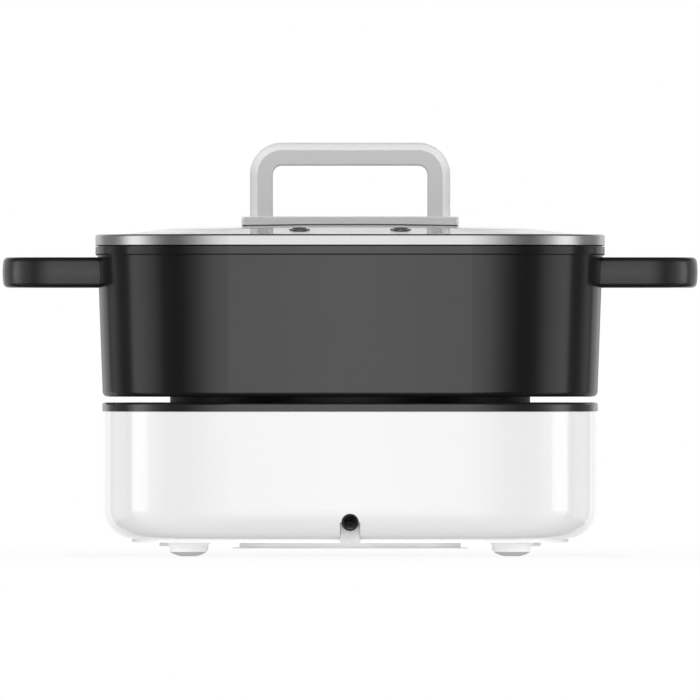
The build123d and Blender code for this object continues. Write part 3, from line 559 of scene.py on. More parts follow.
@dataclass(frozen=True)
class Soled(Finish):
    """A moulded foot whose faces that look down near the floor are painted a darker grey: painted shade
    standing in for the contact shadow under the foot.

    Args:
        sole: the colour of the painted shade.
        sole_top: height where the painted shade ends.
        downward: the normal's z below which a face looks down.
    """

    sole: Colour = (0.3, 0.3, 0.3)
    sole_top: float = 3.0 * MILLIMETRE
    downward: float = -0.3

    def dress(self, surface: Surface) -> None:
        """Adds the plain finish, then the painted shade's colour over the downward faces near the floor.

        Args:
            surface: the material that is being made.
        """
        super().dress(surface)
        # Painted shade: faces that look down, low on the foot, are darkened to stand in for the shadow where
        # the foot meets the floor.
        under = surface.tree.below(surface.facing()[2], self.downward)
        low = surface.tree.below(surface.spot()[2], self.sole_top)
        surface.over(surface.tree.both(under, low), self.sole)


@dataclass(frozen=True)
class Tabbed(Finish):
    """A pale matt moulding with painted light on its boss and painted shade on its tab: the boss, in shade
    under the housing, is painted paler, and the tab at its rear, in the notch's shade, is painted grey.

    Args:
        boss: the boss's paler colour, painted light.
        boss_reach: the boss's radius.
        boss_top: height where it leaves the moulding.
        tab: the tab's grey colour, painted shade.
        tab_reach: half the tab's width.
        tab_line: y where the tab starts.
    """

    boss: Colour = (0.9, 0.9, 0.9)
    boss_reach: float = 65.5 * MILLIMETRE
    boss_top: float = 7.4 * MILLIMETRE
    tab: Colour = (0.4, 0.4, 0.4)
    tab_reach: float = 5.5 * MILLIMETRE
    tab_line: float = -123.5 * MILLIMETRE

    def dress(self, surface: Surface) -> None:
        """Adds the plain finish, then the boss's painted light and the tab's painted shade over it.

        Args:
            surface: the material that is being made.
        """
        super().dress(surface)
        tree = surface.tree
        x, y, z = surface.spot()
        # Painted light: the boss under the middle gets a paler colour than the rest of the cover,
        # brightening where the housing shades it.
        near = tree.below(tree.radius(x, y), self.boss_reach)
        surface.over(tree.both(near, tree.below(z, self.boss_top)), self.boss)
        # Painted shade: the tab at the rear gets a darker grey, standing in for the shade of the notch it
        # sits in.
        narrow = tree.below(tree.math("ABSOLUTE", x), self.tab_reach)
        surface.over(tree.both(narrow, tree.below(y, self.tab_line)), self.tab)


def grey(level: float) -> Colour:
    """Gives a neutral grey."""
    return (level, level, level)


POT_COAT = Lined(
    "pot_satin_coat", grey(0.006), grey(0.008), 0.16, 0.03, 0.000004, 1400.0, specular=0.6,
    lining=grey(0.022), lining_cloud=grey(0.032), lining_roughness=0.36,
)
BLACK_HANDLE = Finish("black_phenolic", grey(0.010), grey(0.012), 0.24, 0.04, 0.000008, 1000.0)
DECK_BLACK = Finish("deck_satin_black", grey(0.008), grey(0.010), 0.26, 0.04, 0.000004, 900.0, specular=0.7)
HOUSING_WHITE = Finish(
    "housing_gloss_white", grey(0.70), grey(0.715), 0.30, 0.03, 0.000002, 500.0, coat=1.0,
    specular=0.3, coat_roughness=0.04,
)
# The cover carries painted light on its boss and painted shade on its tab.
COVER_WHITE = Tabbed(
    "cover_matt_white", grey(0.84), grey(0.86), 0.30, 0.05, 0.00001, 900.0, coat=0.4, boss=grey(0.96),
    tab=grey(0.50),
)
# The feet's undersides carry painted shade: a darker grey standing in for their contact shadow.
FOOT_RUBBER = Soled("foot_soft_rubber", grey(0.74), grey(0.77), 0.55, 0.08, 0.00001, 1200.0, sole=grey(0.40))
BUSH_RUBBER = Finish("bush_rubber", grey(0.015), grey(0.02), 0.6, 0.08, 0.00003, 1200.0)
HANDLE_GREY = Finish("lid_handle_pale_grey", grey(0.42), grey(0.43), 0.26, 0.01, 0.000004, 1100.0, coat=0.6)
KNOB_GREY = Finish("knob_satin_grey", grey(0.44), grey(0.455), 0.30, 0.03, 0.00001, 1000.0, coat=0.3)
GASKET = Finish("silicone_gasket", grey(0.10), grey(0.12), 0.5, 0.06, 0.00002, 1200.0)
STEEL = Brushed("brushed_steel", grey(0.55), grey(0.63), 0.31, 0.08, 0.000002, metallic=1.0)
BRIGHT_STEEL = Turned("bright_steel", grey(0.55), grey(0.62), 0.16, 0.08, 0.000002, metallic=1.0)
PLATE_CAST = Turned("heating_plate_coat", grey(0.03), grey(0.045), 0.34, 0.10, 0.00001, pitch=0.0012)
GLASS = Clear("toughened_glass", (0.97, 0.99, 0.98), (0.95, 0.975, 0.965), 0.0, 0.02)
REFLECTOR = Finish("aluminised_sheet", grey(0.62), grey(0.68), 0.22, 0.12, 0.000006, 600.0, metallic=1.0)
ALUMINIUM = Finish("cast_aluminium", grey(0.55), grey(0.62), 0.4, 0.1, 0.00003, 700.0, metallic=1.0)
ZINC = Finish("zinc_screw", grey(0.50), grey(0.60), 0.3, 0.1, 0.00001, 1500.0, metallic=1.0)
BOARD = Finish("board_laminate", (0.02, 0.12, 0.05), (0.03, 0.15, 0.06), 0.35, 0.05, 0.00001, 800.0)
BOARD_PART = Finish("board_part_black", grey(0.02), grey(0.03), 0.4, 0.05, 0.00002, 900.0)
CAN_SLEEVE = Finish("can_sleeve", (0.02, 0.03, 0.10), (0.03, 0.04, 0.13), 0.3, 0.05, 0.00001, 900.0)
TERMINAL = Finish("terminal_nylon", grey(0.30), grey(0.34), 0.45, 0.05, 0.00002, 900.0)
LEAD = Finish("lead_sleeve", grey(0.60), grey(0.66), 0.5, 0.05, 0.00003, 1200.0)
INNER_PLASTIC = Finish("inner_moulding", grey(0.25), grey(0.28), 0.45, 0.05, 0.00003, 900.0)
INK = Finish("printed_ink", grey(0.03), grey(0.04), 0.45, 0.05, 0.00001, 1400.0)
SCREW_WHITE = Finish("lacquered_screw", grey(0.66), grey(0.70), 0.35, 0.06, 0.00001, 1500.0, coat=0.4)
EYELET = Finish("eyelet_polished_steel", grey(0.60), grey(0.66), 0.10, 0.06, 0.000001, 1500.0, metallic=1.0)
LENS = Finish("lamp_lens_milky", (0.75, 0.70, 0.62), (0.8, 0.75, 0.66), 0.2, 0.05, 0.000004, 600.0, coat=0.5)


# ---------------------------------------------------------------- modelling


def hold(*pieces: Piece) -> None:
    """Selects these pieces alone, with the first one active."""
    bpy.ops.object.select_all(action="DESELECT")
    for piece in pieces:
        piece.select_set(True)
    bpy.context.view_layer.objects.active = pieces[0]


def settle(piece: Piece) -> None:
    """Puts a piece's place, turn and scale into its mesh."""
    hold(piece)
    bpy.ops.object.transform_apply(location=True, rotation=True, scale=True)


@contextmanager
def editing(piece: Piece) -> Iterator[None]:
    """Edits a piece's mesh, with all of it selected at first.

    Args:
        piece: the piece.

    Yields:
        Nothing, while the piece is in edit mode.
    """
    hold(piece)
    bpy.ops.object.mode_set(mode="EDIT")
    bpy.ops.mesh.select_all(action="SELECT")
    yield
    bpy.ops.object.mode_set(mode="OBJECT")


def modify(piece: Piece, kind: str, **settings: object) -> None:
    """Adds a modifier and applies it.

    Args:
        piece: the piece.
        kind: the modifier's type.
        settings: its properties.
    """
    modifier = piece.modifiers.new(kind.lower(), kind)
    for name, value in settings.items():
        setattr(modifier, name, value)
    hold(piece)
    bpy.ops.object.modifier_apply(modifier=modifier.name)


def twin(piece: Piece, place: Matrix) -> Piece:
    """Copies a piece with its own mesh, and puts the copy in its place.

    Args:
        piece: the piece, at the origin.
        place: where the copy goes.

    Returns:
        The copy.
    """
    hold(piece)
    bpy.ops.object.duplicate()
    made = bpy.context.object
    made.matrix_world = place
    settle(made)
    return made


def welded(node: str) -> Piece:
    """Copies a CAD node, with its loose triangles merged into one surface.

    Args:
        node: the CAD node.

    Returns:
        The copy.
    """
    hold(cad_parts[node])
    bpy.ops.object.duplicate()
    made = bpy.context.object
    with editing(made):
        bpy.ops.mesh.remove_doubles(threshold=WELD_DISTANCE)
    return made


def remove(piece: Piece) -> None:
    """Deletes a piece that was only a pattern or a tool."""
    hold(piece)
    bpy.ops.object.delete()


def joined(pieces: list[Piece]) -> Piece:
    """Joins pieces into one."""
    hold(*pieces)
    bpy.ops.object.join()
    return bpy.context.object


def pick_faces(piece: Piece, wanted: Callable[[Vector, Vector], bool]) -> None:
    """Selects faces in edit mode by their middle and normal.

    Args:
        piece: the piece that is being edited.
        wanted: says whether a face with this middle and normal is picked.
    """
    bpy.ops.mesh.select_mode(type="FACE")
    mesh = bmesh.from_edit_mesh(piece.data)
    for face in mesh.faces:
        face.select_set(wanted(face.calc_center_median(), face.normal))
    mesh.select_flush_mode()
    bmesh.update_edit_mesh(piece.data)


def turned(outline: list[tuple[float, float]], steps: int) -> Piece:
    """Spins a closed outline round the vertical axis.

    Args:
        outline: radius and height of each corner, once round.
        steps: how many facets a turn has.

    Returns:
        The turned piece.
    """
    bpy.ops.mesh.primitive_plane_add(size=MILLIMETRE)
    piece = bpy.context.object
    with editing(piece):
        bpy.ops.mesh.select_mode(type="VERT")
        bpy.ops.mesh.select_all(action="SELECT")
        bpy.ops.mesh.merge(type="CENTER")
        bpy.ops.mesh.select_all(action="SELECT")
        here = (0.0, 0.0)
        for number, (radius, height) in enumerate([*outline, outline[0]]):
            step = (radius - here[0], 0.0, height - here[1])
            if number == 0:
                bpy.ops.transform.translate(value=step)
            else:
                bpy.ops.mesh.extrude_region_move(TRANSFORM_OT_translate={"value": step})
            here = (radius, height)
        bpy.ops.mesh.select_all(action="SELECT")
        bpy.ops.mesh.spin(steps=steps, angle=2 * math.pi, center=(0, 0, 0), axis=(0, 0, 1))
        bpy.ops.mesh.select_all(action="SELECT")
        bpy.ops.mesh.remove_doubles(threshold=WELD_DISTANCE)
        bpy.ops.mesh.normals_make_consistent(inside=False)
    return piece


def hand_in(
    piece: Piece, name: str, body: str, finish: Finish, replaced: tuple[str, ...] = ()
) -> None:
    """Names, smooths and dresses a finished piece, and says what it rides on and stands for.

    Args:
        piece: the piece.
        name: its name.
        body: the body it moves with.
        finish: its finish.
        replaced: the CAD nodes it stands for.
    """
    settle(piece)
    bpy.ops.object.shade_smooth_by_angle(angle=SMOOTH_ANGLE)
    piece.name = piece.data.name = name
    piece.data.materials.clear()
    piece.data.materials.append(finish.material())
    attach(piece, body)
    if replaced:
        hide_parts(*replaced)
    log.info("built %s on %s: %d faces", name, body, len(piece.data.polygons))


def dress(finish: Finish, *nodes: str) -> None:
    """Gives CAD nodes a finish.

    Args:
        finish: the finish.
        nodes: the names of the nodes.
    """
    for name in nodes:
        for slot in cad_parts[name].material_slots:
            slot.material = finish.material()
        log.info("dressed %s in %s", name, finish.name)


# ---------------------------------------------------------------- sub-assemblies


@dataclass
class Screws:
    """Cross-recessed screws, cut from the frame's plain ones, whose heads look down.

    Args:
        slot_width: width of the cross's arms.
        slot_length: length of the cross from tip to tip.
        depth: depth of the recess.
        edge: round of the head's edge.
        edge_facets: facets of that round.
        narrowing: width of the recess at its end, as a share of its width at its mouth.
    """

    slot_width: float = 0.95 * MILLIMETRE
    slot_length: float = 3.8 * MILLIMETRE
    depth: float = 1.3 * MILLIMETRE
    edge: float = 0.35 * MILLIMETRE
    edge_facets: int = 2
    narrowing: float = 0.5

    def driver(self) -> Piece:
        """Models the tip that cuts the recess: a cross that narrows upwards."""
        width = self.slot_width
        bpy.ops.mesh.primitive_cube_add(size=width)
        tip = bpy.context.object
        tip.scale.z = 2 * self.depth / width
        settle(tip)
        reach = (self.slot_length - width) / 2
        narrow = (self.narrowing, self.narrowing, 1.0)
        with editing(tip):
            pick_faces(tip, lambda middle, normal: abs(normal.z) < MOSTLY)
            bpy.ops.mesh.extrude_faces_move(TRANSFORM_OT_shrink_fatten={"value": reach})
            pick_faces(tip, lambda middle, normal: normal.z > MOSTLY)
            bpy.ops.transform.resize(value=narrow, center_override=(0, 0, self.depth))
        return tip

    def heads(self, piece: Piece) -> list[Vector]:
        """Finds the middle of each screw's lowest face.

        Args:
            piece: several screws in one mesh.

        Returns:
            The places.
        """
        mesh = bmesh.new()
        mesh.from_mesh(piece.data)
        left, found = set(mesh.verts), []
        for start in mesh.verts:
            reached, part = [start] if start in left else [], []
            left -= {start}
            while reached:
                vert = reached.pop()
                part.append(vert.co.copy())
                near = {link.other_vert(vert) for link in vert.link_edges} & left
                left -= near
                reached.extend(near)
            if part:
                x, y, z = zip(*part)
                found.append(Vector(((min(x) + max(x)) / 2, (min(y) + max(y)) / 2, min(z))))
        mesh.free()
        return found

    def cut(self, node: str, body: str, finish: Finish) -> None:
        """Cuts the recesses and stands the result for the plain screws.

        Args:
            node: the CAD node with the plain screws.
            body: the body they ride on.
            finish: their finish.
        """
        screws = welded(node)
        modify(
            screws, "BEVEL", width=self.edge, segments=self.edge_facets, limit_method="ANGLE",
            angle_limit=SHARP_ANGLE,
        )
        tip = self.driver()
        tips = joined([twin(tip, Matrix.Translation(head)) for head in self.heads(screws)])
        remove(tip)
        modify(screws, "BOOLEAN", object=tips, operation="DIFFERENCE", solver="EXACT")
        remove(tips)
        hand_in(screws, node.replace("screws", "cross_screws"), body, finish, (node,))


@dataclass
class Base:
    """The powered base: housing, cover, deck, feet and cord outlet."""

    def build(self) -> None:
        """Cuts the recesses of the screws under the base."""
        Screws().cut("cover_screws", "base", SCREW_WHITE)

    def dress(self) -> None:
        """Gives the base's pieces their finishes."""
        dress(HOUSING_WHITE, "base_housing")
        dress(COVER_WHITE, "bottom_cover")
        dress(DECK_BLACK, "top_deck")
        dress(FOOT_RUBBER, *FEET)
        dress(BUSH_RUBBER, "cord_bush")
        dress(INNER_PLASTIC, "cord_clamp")
        dress(ZINC, "cord_clamp_screws")


@dataclass
class Heater:
    """Heating plate, tube, reflector and the sprung sensor.

    Args:
        sensor_travel: how far the sensor's cup can be pressed down; not used.
    """

    sensor_travel: float = 2.0 * MILLIMETRE

    def build(self) -> None:
        """Builds the sensor's coil spring as a welded copy of the frame's, with its own mesh."""
        coil = welded("sensor_spring")
        hand_in(coil, "sensor_coil_spring", "base", BRIGHT_STEEL, ("sensor_spring",))
        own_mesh(coil)

    def dress(self) -> None:
        """Gives the heater's pieces their finishes."""
        dress(PLATE_CAST, "heating_plate")
        dress(REFLECTOR, "heat_reflector")
        dress(BRIGHT_STEEL, "sensor_cup", "heating_tube")
        dress(INNER_PLASTIC, "sensor_guide")
        dress(ALUMINIUM, "plate_pillars")
        dress(ZINC, "plate_screws", "reflector_screws")
        dress(BOARD_PART, "thermal_cutout")
        dress(LEAD, "heater_leads")


@dataclass
class Controls:
    """Knob, rotary control, boards and lamp, with the knob's scale and pointer.

    Args:
        numerals: how many heat settings are numbered, from 0.
        sweep: the knob's whole turn in degrees.
        between: small ticks from one number to the next.
        dish_gap: width of the dish's floor round the knob.
        numeral_height: height of the numerals.
        tick_start: from the dish's edge to the ticks.
        tick_length: length of the ticks at the numbers.
        tick_width: their width.
        small_tick: size of the ticks between, as a share of the ones at the numbers.
        ink: thickness of the print.
        wall: distance of the outermost housing wall from the middle.
        stand_off: how far in front of that wall the flat print starts.
        ink_out: the side that the print's thickness goes to, from -1 for in to 1 for out.
        stroke_cuts: cuts across a tick, so that it can follow the housing.
        groove_width: width of the knob's groove.
        groove_depth: its depth.
        groove_start: radius where the groove starts.
        groove_end: radius where it ends.
        insert_gap: room round the pointer in the groove.
        end_round: round of the pointer's ends, as a share of half its width.
        end_facets: facets of each round.
        rim_share: width of the raised face's border, as a share of the pointer's width.
    """

    numerals: int = 7
    sweep: float = 270.0
    between: int = 3
    dish_gap: float = 5.0 * MILLIMETRE
    numeral_height: float = 4.4 * MILLIMETRE
    tick_start: float = 1.2 * MILLIMETRE
    tick_length: float = 2.4 * MILLIMETRE
    tick_width: float = 0.7 * MILLIMETRE
    small_tick: float = 0.5
    ink: float = 0.12 * MILLIMETRE
    wall: float = 136.0 * MILLIMETRE
    stand_off: float = 1.0 * MILLIMETRE
    ink_out: float = 0.7
    stroke_cuts: int = 3
    groove_width: float = 2.0 * MILLIMETRE
    groove_depth: float = 0.8 * MILLIMETRE
    groove_start: float = 8.0 * MILLIMETRE
    groove_end: float = 21.4 * MILLIMETRE
    insert_gap: float = 0.15 * MILLIMETRE
    end_round: float = 0.98
    end_facets: int = 6
    rim_share: float = 0.125

    def knob(self) -> tuple[Vector, float, float]:
        """Measures the knob in the frame.

        Returns:
            Its middle, its radius and the y of its face.
        """
        low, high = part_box("control_knob")
        middle = (low + high) / 2
        return middle, (high.x - low.x) / 2, high.y

    def facing(self, middle: Vector) -> Matrix:
        """Stands a flat drawing up in front of the control side, to be read from there.

        Args:
            middle: the knob's middle.

        Returns:
            The matrix that takes the drawing's x and y to the front.
        """
        front = Vector((middle.x, self.wall + self.stand_off, middle.z))
        return Matrix.Translation(front) @ Euler((math.pi / 2, 0, math.pi)).to_matrix().to_4x4()

    def ticks(self, middle: Vector, radius: float) -> list[Piece]:
        """Draws the ticks round the dish.

        Args:
            middle: the knob's middle.
            radius: the dish's radius.

        Returns:
            The flat ticks in front of the housing.
        """
        bpy.ops.mesh.primitive_plane_add(size=1.0)
        stroke = bpy.context.object
        with editing(stroke):
            bpy.ops.mesh.subdivide(number_cuts=self.stroke_cuts)
        made = []
        steps = (self.numerals - 1) * (self.between + 1)
        for step in range(steps + 1):
            share = self.small_tick if step % (self.between + 1) else 1.0
            length, width = self.tick_length * share, self.tick_width * share
            turn = math.radians(self.sweep * step / steps)
            out = Matrix.Translation((0, radius + self.tick_start + length / 2, 0))
            size = Matrix.Diagonal((width, length, 1, 1))
            made.append(twin(stroke, self.facing(middle) @ Matrix.Rotation(-turn, 4, "Z") @ out @ size))
        remove(stroke)
        return made

    def figures(self, middle: Vector, radius: float) -> list[Piece]:
        """Writes the numbers on the floor of the dish.

        Args:
            middle: the knob's middle.
            radius: the radius of the line that the numbers stand on.

        Returns:
            The flat numbers in front of the housing.
        """
        made = []
        for number in range(self.numerals):
            turn = math.radians(self.sweep * number / (self.numerals - 1))
            bpy.ops.object.text_add()
            text = bpy.context.object
            text.data.body = str(number)
            text.data.size = self.numeral_height
            text.data.align_x, text.data.align_y = "CENTER", "CENTER"
            hold(text)
            bpy.ops.object.convert(target="MESH")
            figure = bpy.context.object
            spot = Matrix.Translation((radius * math.sin(turn), radius * math.cos(turn), 0))
            figure.matrix_world = self.facing(middle) @ spot
            settle(figure)
            made.append(figure)
        return made

    def scale(self) -> None:
        """Prints the scale on the housing round the knob."""
        middle, radius, _ = self.knob()
        dish = radius + self.dish_gap
        drawing = joined(self.ticks(middle, dish) + self.figures(middle, radius + self.dish_gap / 2))
        modify(
            drawing, "SHRINKWRAP", target=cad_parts["base_housing"], wrap_method="PROJECT",
            use_project_y=True, use_negative_direction=True, use_positive_direction=False,
        )
        modify(drawing, "SOLIDIFY", thickness=self.ink, offset=self.ink_out)
        hand_in(drawing, "knob_scale", "base", INK)

    def pointer(self) -> None:
        """Lays a dark insert with round ends in the knob's groove."""
        middle, _, face = self.knob()
        width = self.groove_width - 2 * self.insert_gap
        length = self.groove_end - self.groove_start - 2 * self.insert_gap
        depth = self.groove_depth - self.insert_gap
        along = middle.z + (self.groove_start + self.groove_end) / 2
        place = (middle.x, face - self.groove_depth + depth / 2, along)
        bpy.ops.mesh.primitive_cube_add(size=1.0, location=place, scale=(width, depth, length))
        insert = bpy.context.object
        settle(insert)
        with editing(insert):
            bpy.ops.mesh.select_mode(type="EDGE")
            mesh = bmesh.from_edit_mesh(insert.data)
            for edge in mesh.edges:
                start, end = (vert.co for vert in edge.verts)
                edge.select_set(abs((end - start).y) > depth / 2)
            bmesh.update_edit_mesh(insert.data)
            bpy.ops.mesh.bevel(offset=width / 2 * self.end_round, segments=self.end_facets, affect="EDGES")
            pick_faces(insert, lambda middle, normal: normal.y > MOSTLY)
            bpy.ops.mesh.inset(thickness=width * self.rim_share)
            bpy.ops.transform.translate(value=(0, -self.insert_gap / 2, 0))
        hand_in(insert, "knob_pointer", "knob", INK)

    def build(self) -> None:
        """Builds the scale and the pointer."""
        self.scale()
        self.pointer()

    def dress(self) -> None:
        """Gives the controls their finishes."""
        dress(KNOB_GREY, "control_knob")
        dress(ALUMINIUM, "knob_shaft")
        dress(ZINC, "bushing_nut", "control_board_screws", "power_board_screws")
        dress(BOARD, "control_board", "power_board")
        dress(BOARD_PART, "potentiometer", "power_relay", "power_transformer")
        dress(CAN_SLEEVE, "filter_capacitor")
        dress(TERMINAL, "terminal_block")
        dress(LENS, "lamp_lens")


@dataclass
class Pot:
    """The pot with its two loop handles."""

    def build(self) -> None:
        """Cuts the recesses of the screws under the handles."""
        Screws().cut("pot_handle_screws", "pot", ZINC)

    def dress(self) -> None:
        """Gives the pot's pieces their finishes."""
        dress(POT_COAT, "pot_body")
        dress(BLACK_HANDLE, "pot_handle_left", "pot_handle_right")


@dataclass
class Lid:
    """The lid: rim, glass, handle and the rolled eyelets of its steam holes.

    Args:
        eyelet_radius: outer radius of the rolled bead.
        bead_width: width of the bead.
        bead_height: its height over the glass.
        bead_points: corners of the bead's arc.
        bore: radius of the steam hole.
        tube_wall: wall of the tube through the glass.
        glass: thickness of the glass.
        seat_gap: room between the eyelet and the glass.
        foot_radius: radius of the flared foot under the glass.
        foot_sheet: its thickness.
        slope: how far the glass leans there, in degrees.
        facets: facets of a turn.
    """

    eyelet_radius: float = 6.0 * MILLIMETRE
    bead_width: float = 2.2 * MILLIMETRE
    bead_height: float = 0.65 * MILLIMETRE
    bead_points: int = 9
    bore: float = 1.9 * MILLIMETRE
    tube_wall: float = 0.8 * MILLIMETRE
    glass: float = 4.0 * MILLIMETRE
    seat_gap: float = 0.05 * MILLIMETRE
    foot_radius: float = 4.6 * MILLIMETRE
    foot_sheet: float = 0.6 * MILLIMETRE
    slope: float = 6.9
    facets: int = 56

    def eyelet(self) -> Piece:
        """Turns one eyelet at the origin, with the glass's face at height 0."""
        crest = self.eyelet_radius - self.bead_width / 2
        arc = []
        for number in range(self.bead_points):
            turn = math.pi * number / (self.bead_points - 1)
            rise = self.seat_gap + self.bead_height * math.sin(turn)
            arc.append((crest + self.bead_width / 2 * math.cos(turn), rise))
        below = -self.glass - self.seat_gap
        funnel = -self.foot_sheet / 2
        inside = [
            (self.bore + 2 * self.foot_sheet, funnel / 2),
            (self.bore + self.foot_sheet / 2, funnel),
            (self.bore, 3 * funnel),
            (self.bore, below - self.foot_sheet),
            (self.foot_radius, below - self.foot_sheet),
            (self.foot_radius, below),
            (self.bore + self.tube_wall, below),
            (self.bore + self.tube_wall, self.seat_gap),
        ]
        return turned(arc + inside, self.facets)

    def eyelets(self) -> None:
        """Puts an eyelet in each steam hole."""
        low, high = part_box("steam_vents")
        lean = math.radians(self.slope)
        drop = self.glass + self.seat_gap + self.foot_sheet
        height = low.z + drop * math.cos(lean) + self.foot_radius * math.sin(lean)
        first = self.eyelet()
        made = []
        for x in (low.x + self.eyelet_radius, high.x - self.eyelet_radius):
            place = Matrix.Translation((x, (low.y + high.y) / 2, height))
            made.append(twin(first, place @ Matrix.Rotation(lean, 4, "X")))
        remove(first)
        hand_in(joined(made), "steam_eyelets", "lid", EYELET, ("steam_vents",))

    def build(self) -> None:
        """Builds the eyelets and cuts the recesses of the handle's screws."""
        self.eyelets()
        Screws().cut("lid_handle_screws", "lid", ZINC)

    def dress(self) -> None:
        """Gives the lid's pieces their finishes."""
        dress(STEEL, "lid_rim")
        dress(GLASS, "lid_glass")
        dress(HANDLE_GREY, "lid_handle")
        dress(GASKET, "handle_gasket", "lid_handle_washers")


# ---------------------------------------------------------------- studio


@dataclass(frozen=True)
class Lamp:
    """A square soft lamp that matt surfaces see.

    Args:
        name: the lamp's name.
        place: where it stands.
        size: its width.
        power: its power in watts.
        only: the pieces that it lights alone, or nothing for all of them.
        in_gloss: whether gloss shows it.
        aim: the place it points at.
        unshaded: whether only the pieces that it lights can shade each other.
    """

    name: str
    place: Place
    size: float
    power: float
    only: tuple[str, ...] = ()
    in_gloss: bool = False
    aim: Place = (0.0, 0.0, 0.1)
    unshaded: bool = False

    def add(self) -> None:
        """Adds the lamp, aimed at the object."""
        turn = (Vector(self.aim) - Vector(self.place)).to_track_quat("-Z", "Y").to_euler()
        bpy.ops.object.light_add(type="AREA", location=self.place, rotation=turn)
        made = bpy.context.object
        made.name = self.name
        made.data.size, made.data.energy = self.size, self.power
        made.visible_glossy = self.in_gloss
        made.visible_camera = made.visible_transmission = False
        if self.only:
            lit = bpy.data.collections.new(self.name + "_lights")
            for piece in self.only:
                lit.objects.link(bpy.data.objects[piece])
            made.light_linking.receiver_collection = lit
            if self.unshaded:
                made.light_linking.blocker_collection = lit


def pair(name: str, place: Place, *settings: object) -> tuple[Lamp, Lamp]:
    """Makes a lamp on the left and its twin on the right.

    Args:
        name: the lamps' name, with a star where the side goes.
        place: where the right one stands.
        settings: what else a Lamp takes, in its order.

    Returns:
        The left lamp and the right one.
    """
    x, y, z = place
    left = Lamp(name.replace("*", "left"), (-x, y, z), *settings)
    return left, Lamp(name.replace("*", "right"), place, *settings)


GRIPS = ("pot_handle_left", "pot_handle_right")
SHELLS = ("base_housing", "top_deck", "lid_rim", *GRIPS)
UNDERSIDE = ("bottom_cover", *FEET)
LOW = (0.0, 0.0, 0.0)
HIGH = (0.0, 0.0, 0.2)


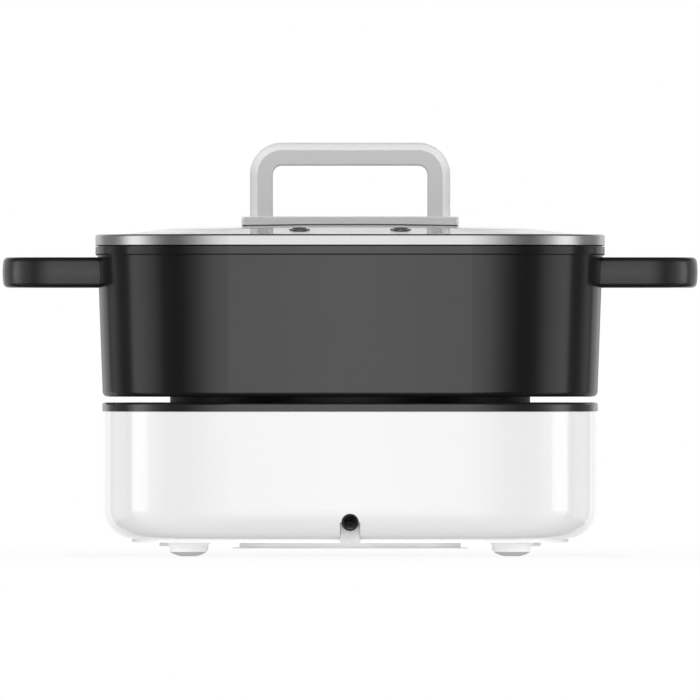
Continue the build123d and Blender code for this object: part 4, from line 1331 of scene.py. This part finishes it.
@dataclass
class Studio:
    """Camera, floor, world and lamps.

    Args:
        picture: pixels on each side of the picture.
        scale: metres that a pixel covers at the object.
        middle_column: the pixel column of the object's centre plane.
        floor_row: the pixel row edge at which the object stands.
        lens: focal length in millimetres, long for a view without perspective.
        sensor: the sensor's width in millimetres.
        fill: the world's light on matt surfaces.
        floor_half: half the floor's width.
        shadow_share: how much of the floor's own shade the camera sees.
        floor_in_matt: the share of the floor's even glow in the light that it sends up.
        floor_glow: how strong that glow is.
        floor_level: how much light the floor's own colour sends back.
        front_box: angle from the camera's side in degrees, and the light that gloss sees there.
        surround: azimuth from the camera's side in degrees, and the light that gloss sees there.
        ceiling: elevation in degrees, and the share of the surround that is left there.
        lamps: the lamps.
    """

    picture: int = 700
    scale: float = 0.55 * MILLIMETRE
    middle_column: float = 350.1
    floor_row: float = 555.0
    lens: float = 1500.0
    sensor: float = 36.0
    fill: float = 0.66
    floor_half: float = 2.0
    shadow_share: float = 0.18
    floor_in_matt: float = 0.95
    floor_glow: float = 1.12
    floor_level: float = 0.8
    front_box: Curve = ((0, 2.45), (4, 2.0), (8, 1.6), (22, 1.12), (36, 0.42), (46, 0.08), (56, 0.0))
    surround: Curve = (
        (50, 0.0), (66, 0.1), (72, 0.5), (80, 0.75), (90, 0.95), (98, 1.0), (102, 0.95), (104, 0.08),
        (118, 0.08), (128, 0.3), (137, 0.35), (139, 0.15), (144, 0.15), (147, 0.45), (180, 0.45),
    )
    ceiling: Curve = ((0, 1.0), (8, 0.95), (16, 0.72), (35, 0.2), (60, 0.05), (90, 0.05))
    lamps: tuple[Lamp, ...] = (
        Lamp("front_softbox", (0.0, -3.0, 1.6), 2.2, 42.0),
        *pair("*_softbox", (3.0, -0.2, 0.7), 1.8, 18.0),
        Lamp("rear_softbox", (0.0, 3.0, 1.6), 2.2, 36.0),
        Lamp("top_softbox", (0.0, 0.3, 3.0), 2.4, 22.0),
        *pair("handle_*_strip", (2.0, 0.1, 0.5), 1.2, 42.0, ("lid_handle",), False, HIGH),
        Lamp("handle_top_strip", (0.0, 0.1, 2.2), 1.2, 30.0, ("lid_handle",), False, HIGH),
        *pair("*_strip", (2.5, 0.09, 0.15), 0.88, 3.5, SHELLS, True),
        Lamp("rear_strip", (0.0, 2.5, 0.15), 3.25, 18.0, (*SHELLS, "lid_glass", "steam_eyelets"), True),
        *pair("*_rear_strip", (1.9, 1.6, 0.15), 1.7, 4.5, ("base_housing", *GRIPS), True),
        *pair("grip_*_strip", (2.28, -1.02, 0.15), 1.25, 2.5, GRIPS, True),
        Lamp("low_front", (0.0, -2.5, 0.06), 0.9, 11.0, UNDERSIDE, False, LOW, True),
        Lamp("low_cover", (0.0, -2.5, 0.06), 0.9, 6.0, ("bottom_cover",), False, LOW, True),
        Lamp("low_rear", (0.0, 2.5, 0.06), 0.9, 11.0, UNDERSIDE, False, LOW, True),
        *pair("low_*", (2.5, 0.0, 0.06), 0.9, 6.0, UNDERSIDE, False, LOW, True),
    )

    def camera(self) -> None:
        """Adds the camera: level, straight on, far away with a long lens."""
        width = self.picture * self.scale
        distance = width * self.lens / self.sensor
        x = (self.picture / 2 - self.middle_column) * self.scale
        z = (self.floor_row - self.picture / 2) * self.scale
        bpy.ops.object.camera_add(location=(x, -distance, z), rotation=(math.pi / 2, 0, 0))
        made = bpy.context.object
        made.name = "camera"
        made.data.lens, made.data.sensor_width = self.lens, self.sensor
        made.data.clip_end = 2 * distance
        bpy.context.scene.camera = made

    def world(self) -> None:
        """Makes the world: white to look at, soft boxes in gloss, and an even fill on the rest."""
        made = bpy.data.worlds.new("studio")
        bpy.context.scene.world = made
        made.use_nodes = True
        made.node_tree.nodes.clear()
        tree = Tree(made.node_tree)
        x, y, z = tree.split(tree.node("TexCoord").outputs["Generated"])
        forward = tree.math("MULTIPLY", y, -1.0)
        azimuth = tree.degrees(tree.math("ARCTAN2", x, forward))
        off_front = tree.degrees(tree.math("ARCCOSINE", forward))
        elevation = tree.degrees(tree.math("ARCSINE", z))
        around = tree.both(tree.curve(azimuth, self.surround), tree.curve(elevation, self.ceiling))
        in_gloss = tree.math("MAXIMUM", tree.curve(off_front, self.front_box), around)
        level = tree.choose(tree.node("LightPath").outputs["Is Glossy Ray"], self.fill, in_gloss)
        background = tree.node("Background", Color=WHITE, Strength=tree.choose(tree.seen(), level, 1.0))
        tree.node("OutputWorld", Surface=background.outputs[0])

    def floor(self) -> None:
        """Adds the floor: white where it is looked at, with the object's shadow kept."""
        bpy.ops.mesh.primitive_plane_add(size=2 * self.floor_half, location=(0, 0, 0))
        made = bpy.context.object
        made.name = "floor"
        material = bpy.data.materials.new("studio_floor")
        material.use_nodes = True
        material.node_tree.nodes.clear()
        tree = Tree(material.node_tree)
        seen = tree.seen()
        matt = tree.node("BsdfDiffuse", Color=(*grey(self.floor_level), 1.0))
        glow = tree.node("Emission", Strength=tree.choose(seen, self.floor_glow, 1.0))
        mix = tree.node("MixShader", Fac=tree.choose(seen, self.floor_in_matt, 1 - self.shadow_share))
        tree.join(matt.outputs[0], mix.inputs[1])
        tree.join(glow.outputs[0], mix.inputs[2])
        tree.node("OutputMaterial", Surface=mix.outputs[0])
        made.data.materials.append(material)
        made.visible_glossy = False

    def build(self) -> None:
        """Makes the whole studio."""
        bpy.context.scene.view_settings.view_transform = "Standard"
        self.camera()
        self.world()
        self.floor()
        for lamp in self.lamps:
            lamp.add()
        log.info("built the studio")


def main() -> None:
    """Builds the object's sub-assemblies in order, then the studio."""
    logging.basicConfig(level=logging.INFO, format="%(message)s")
    for assembly in (Base(), Heater(), Controls(), Pot(), Lid()):
        assembly.build()
        assembly.dress()
    Studio().build()


if __name__ == "__main__":
    main()
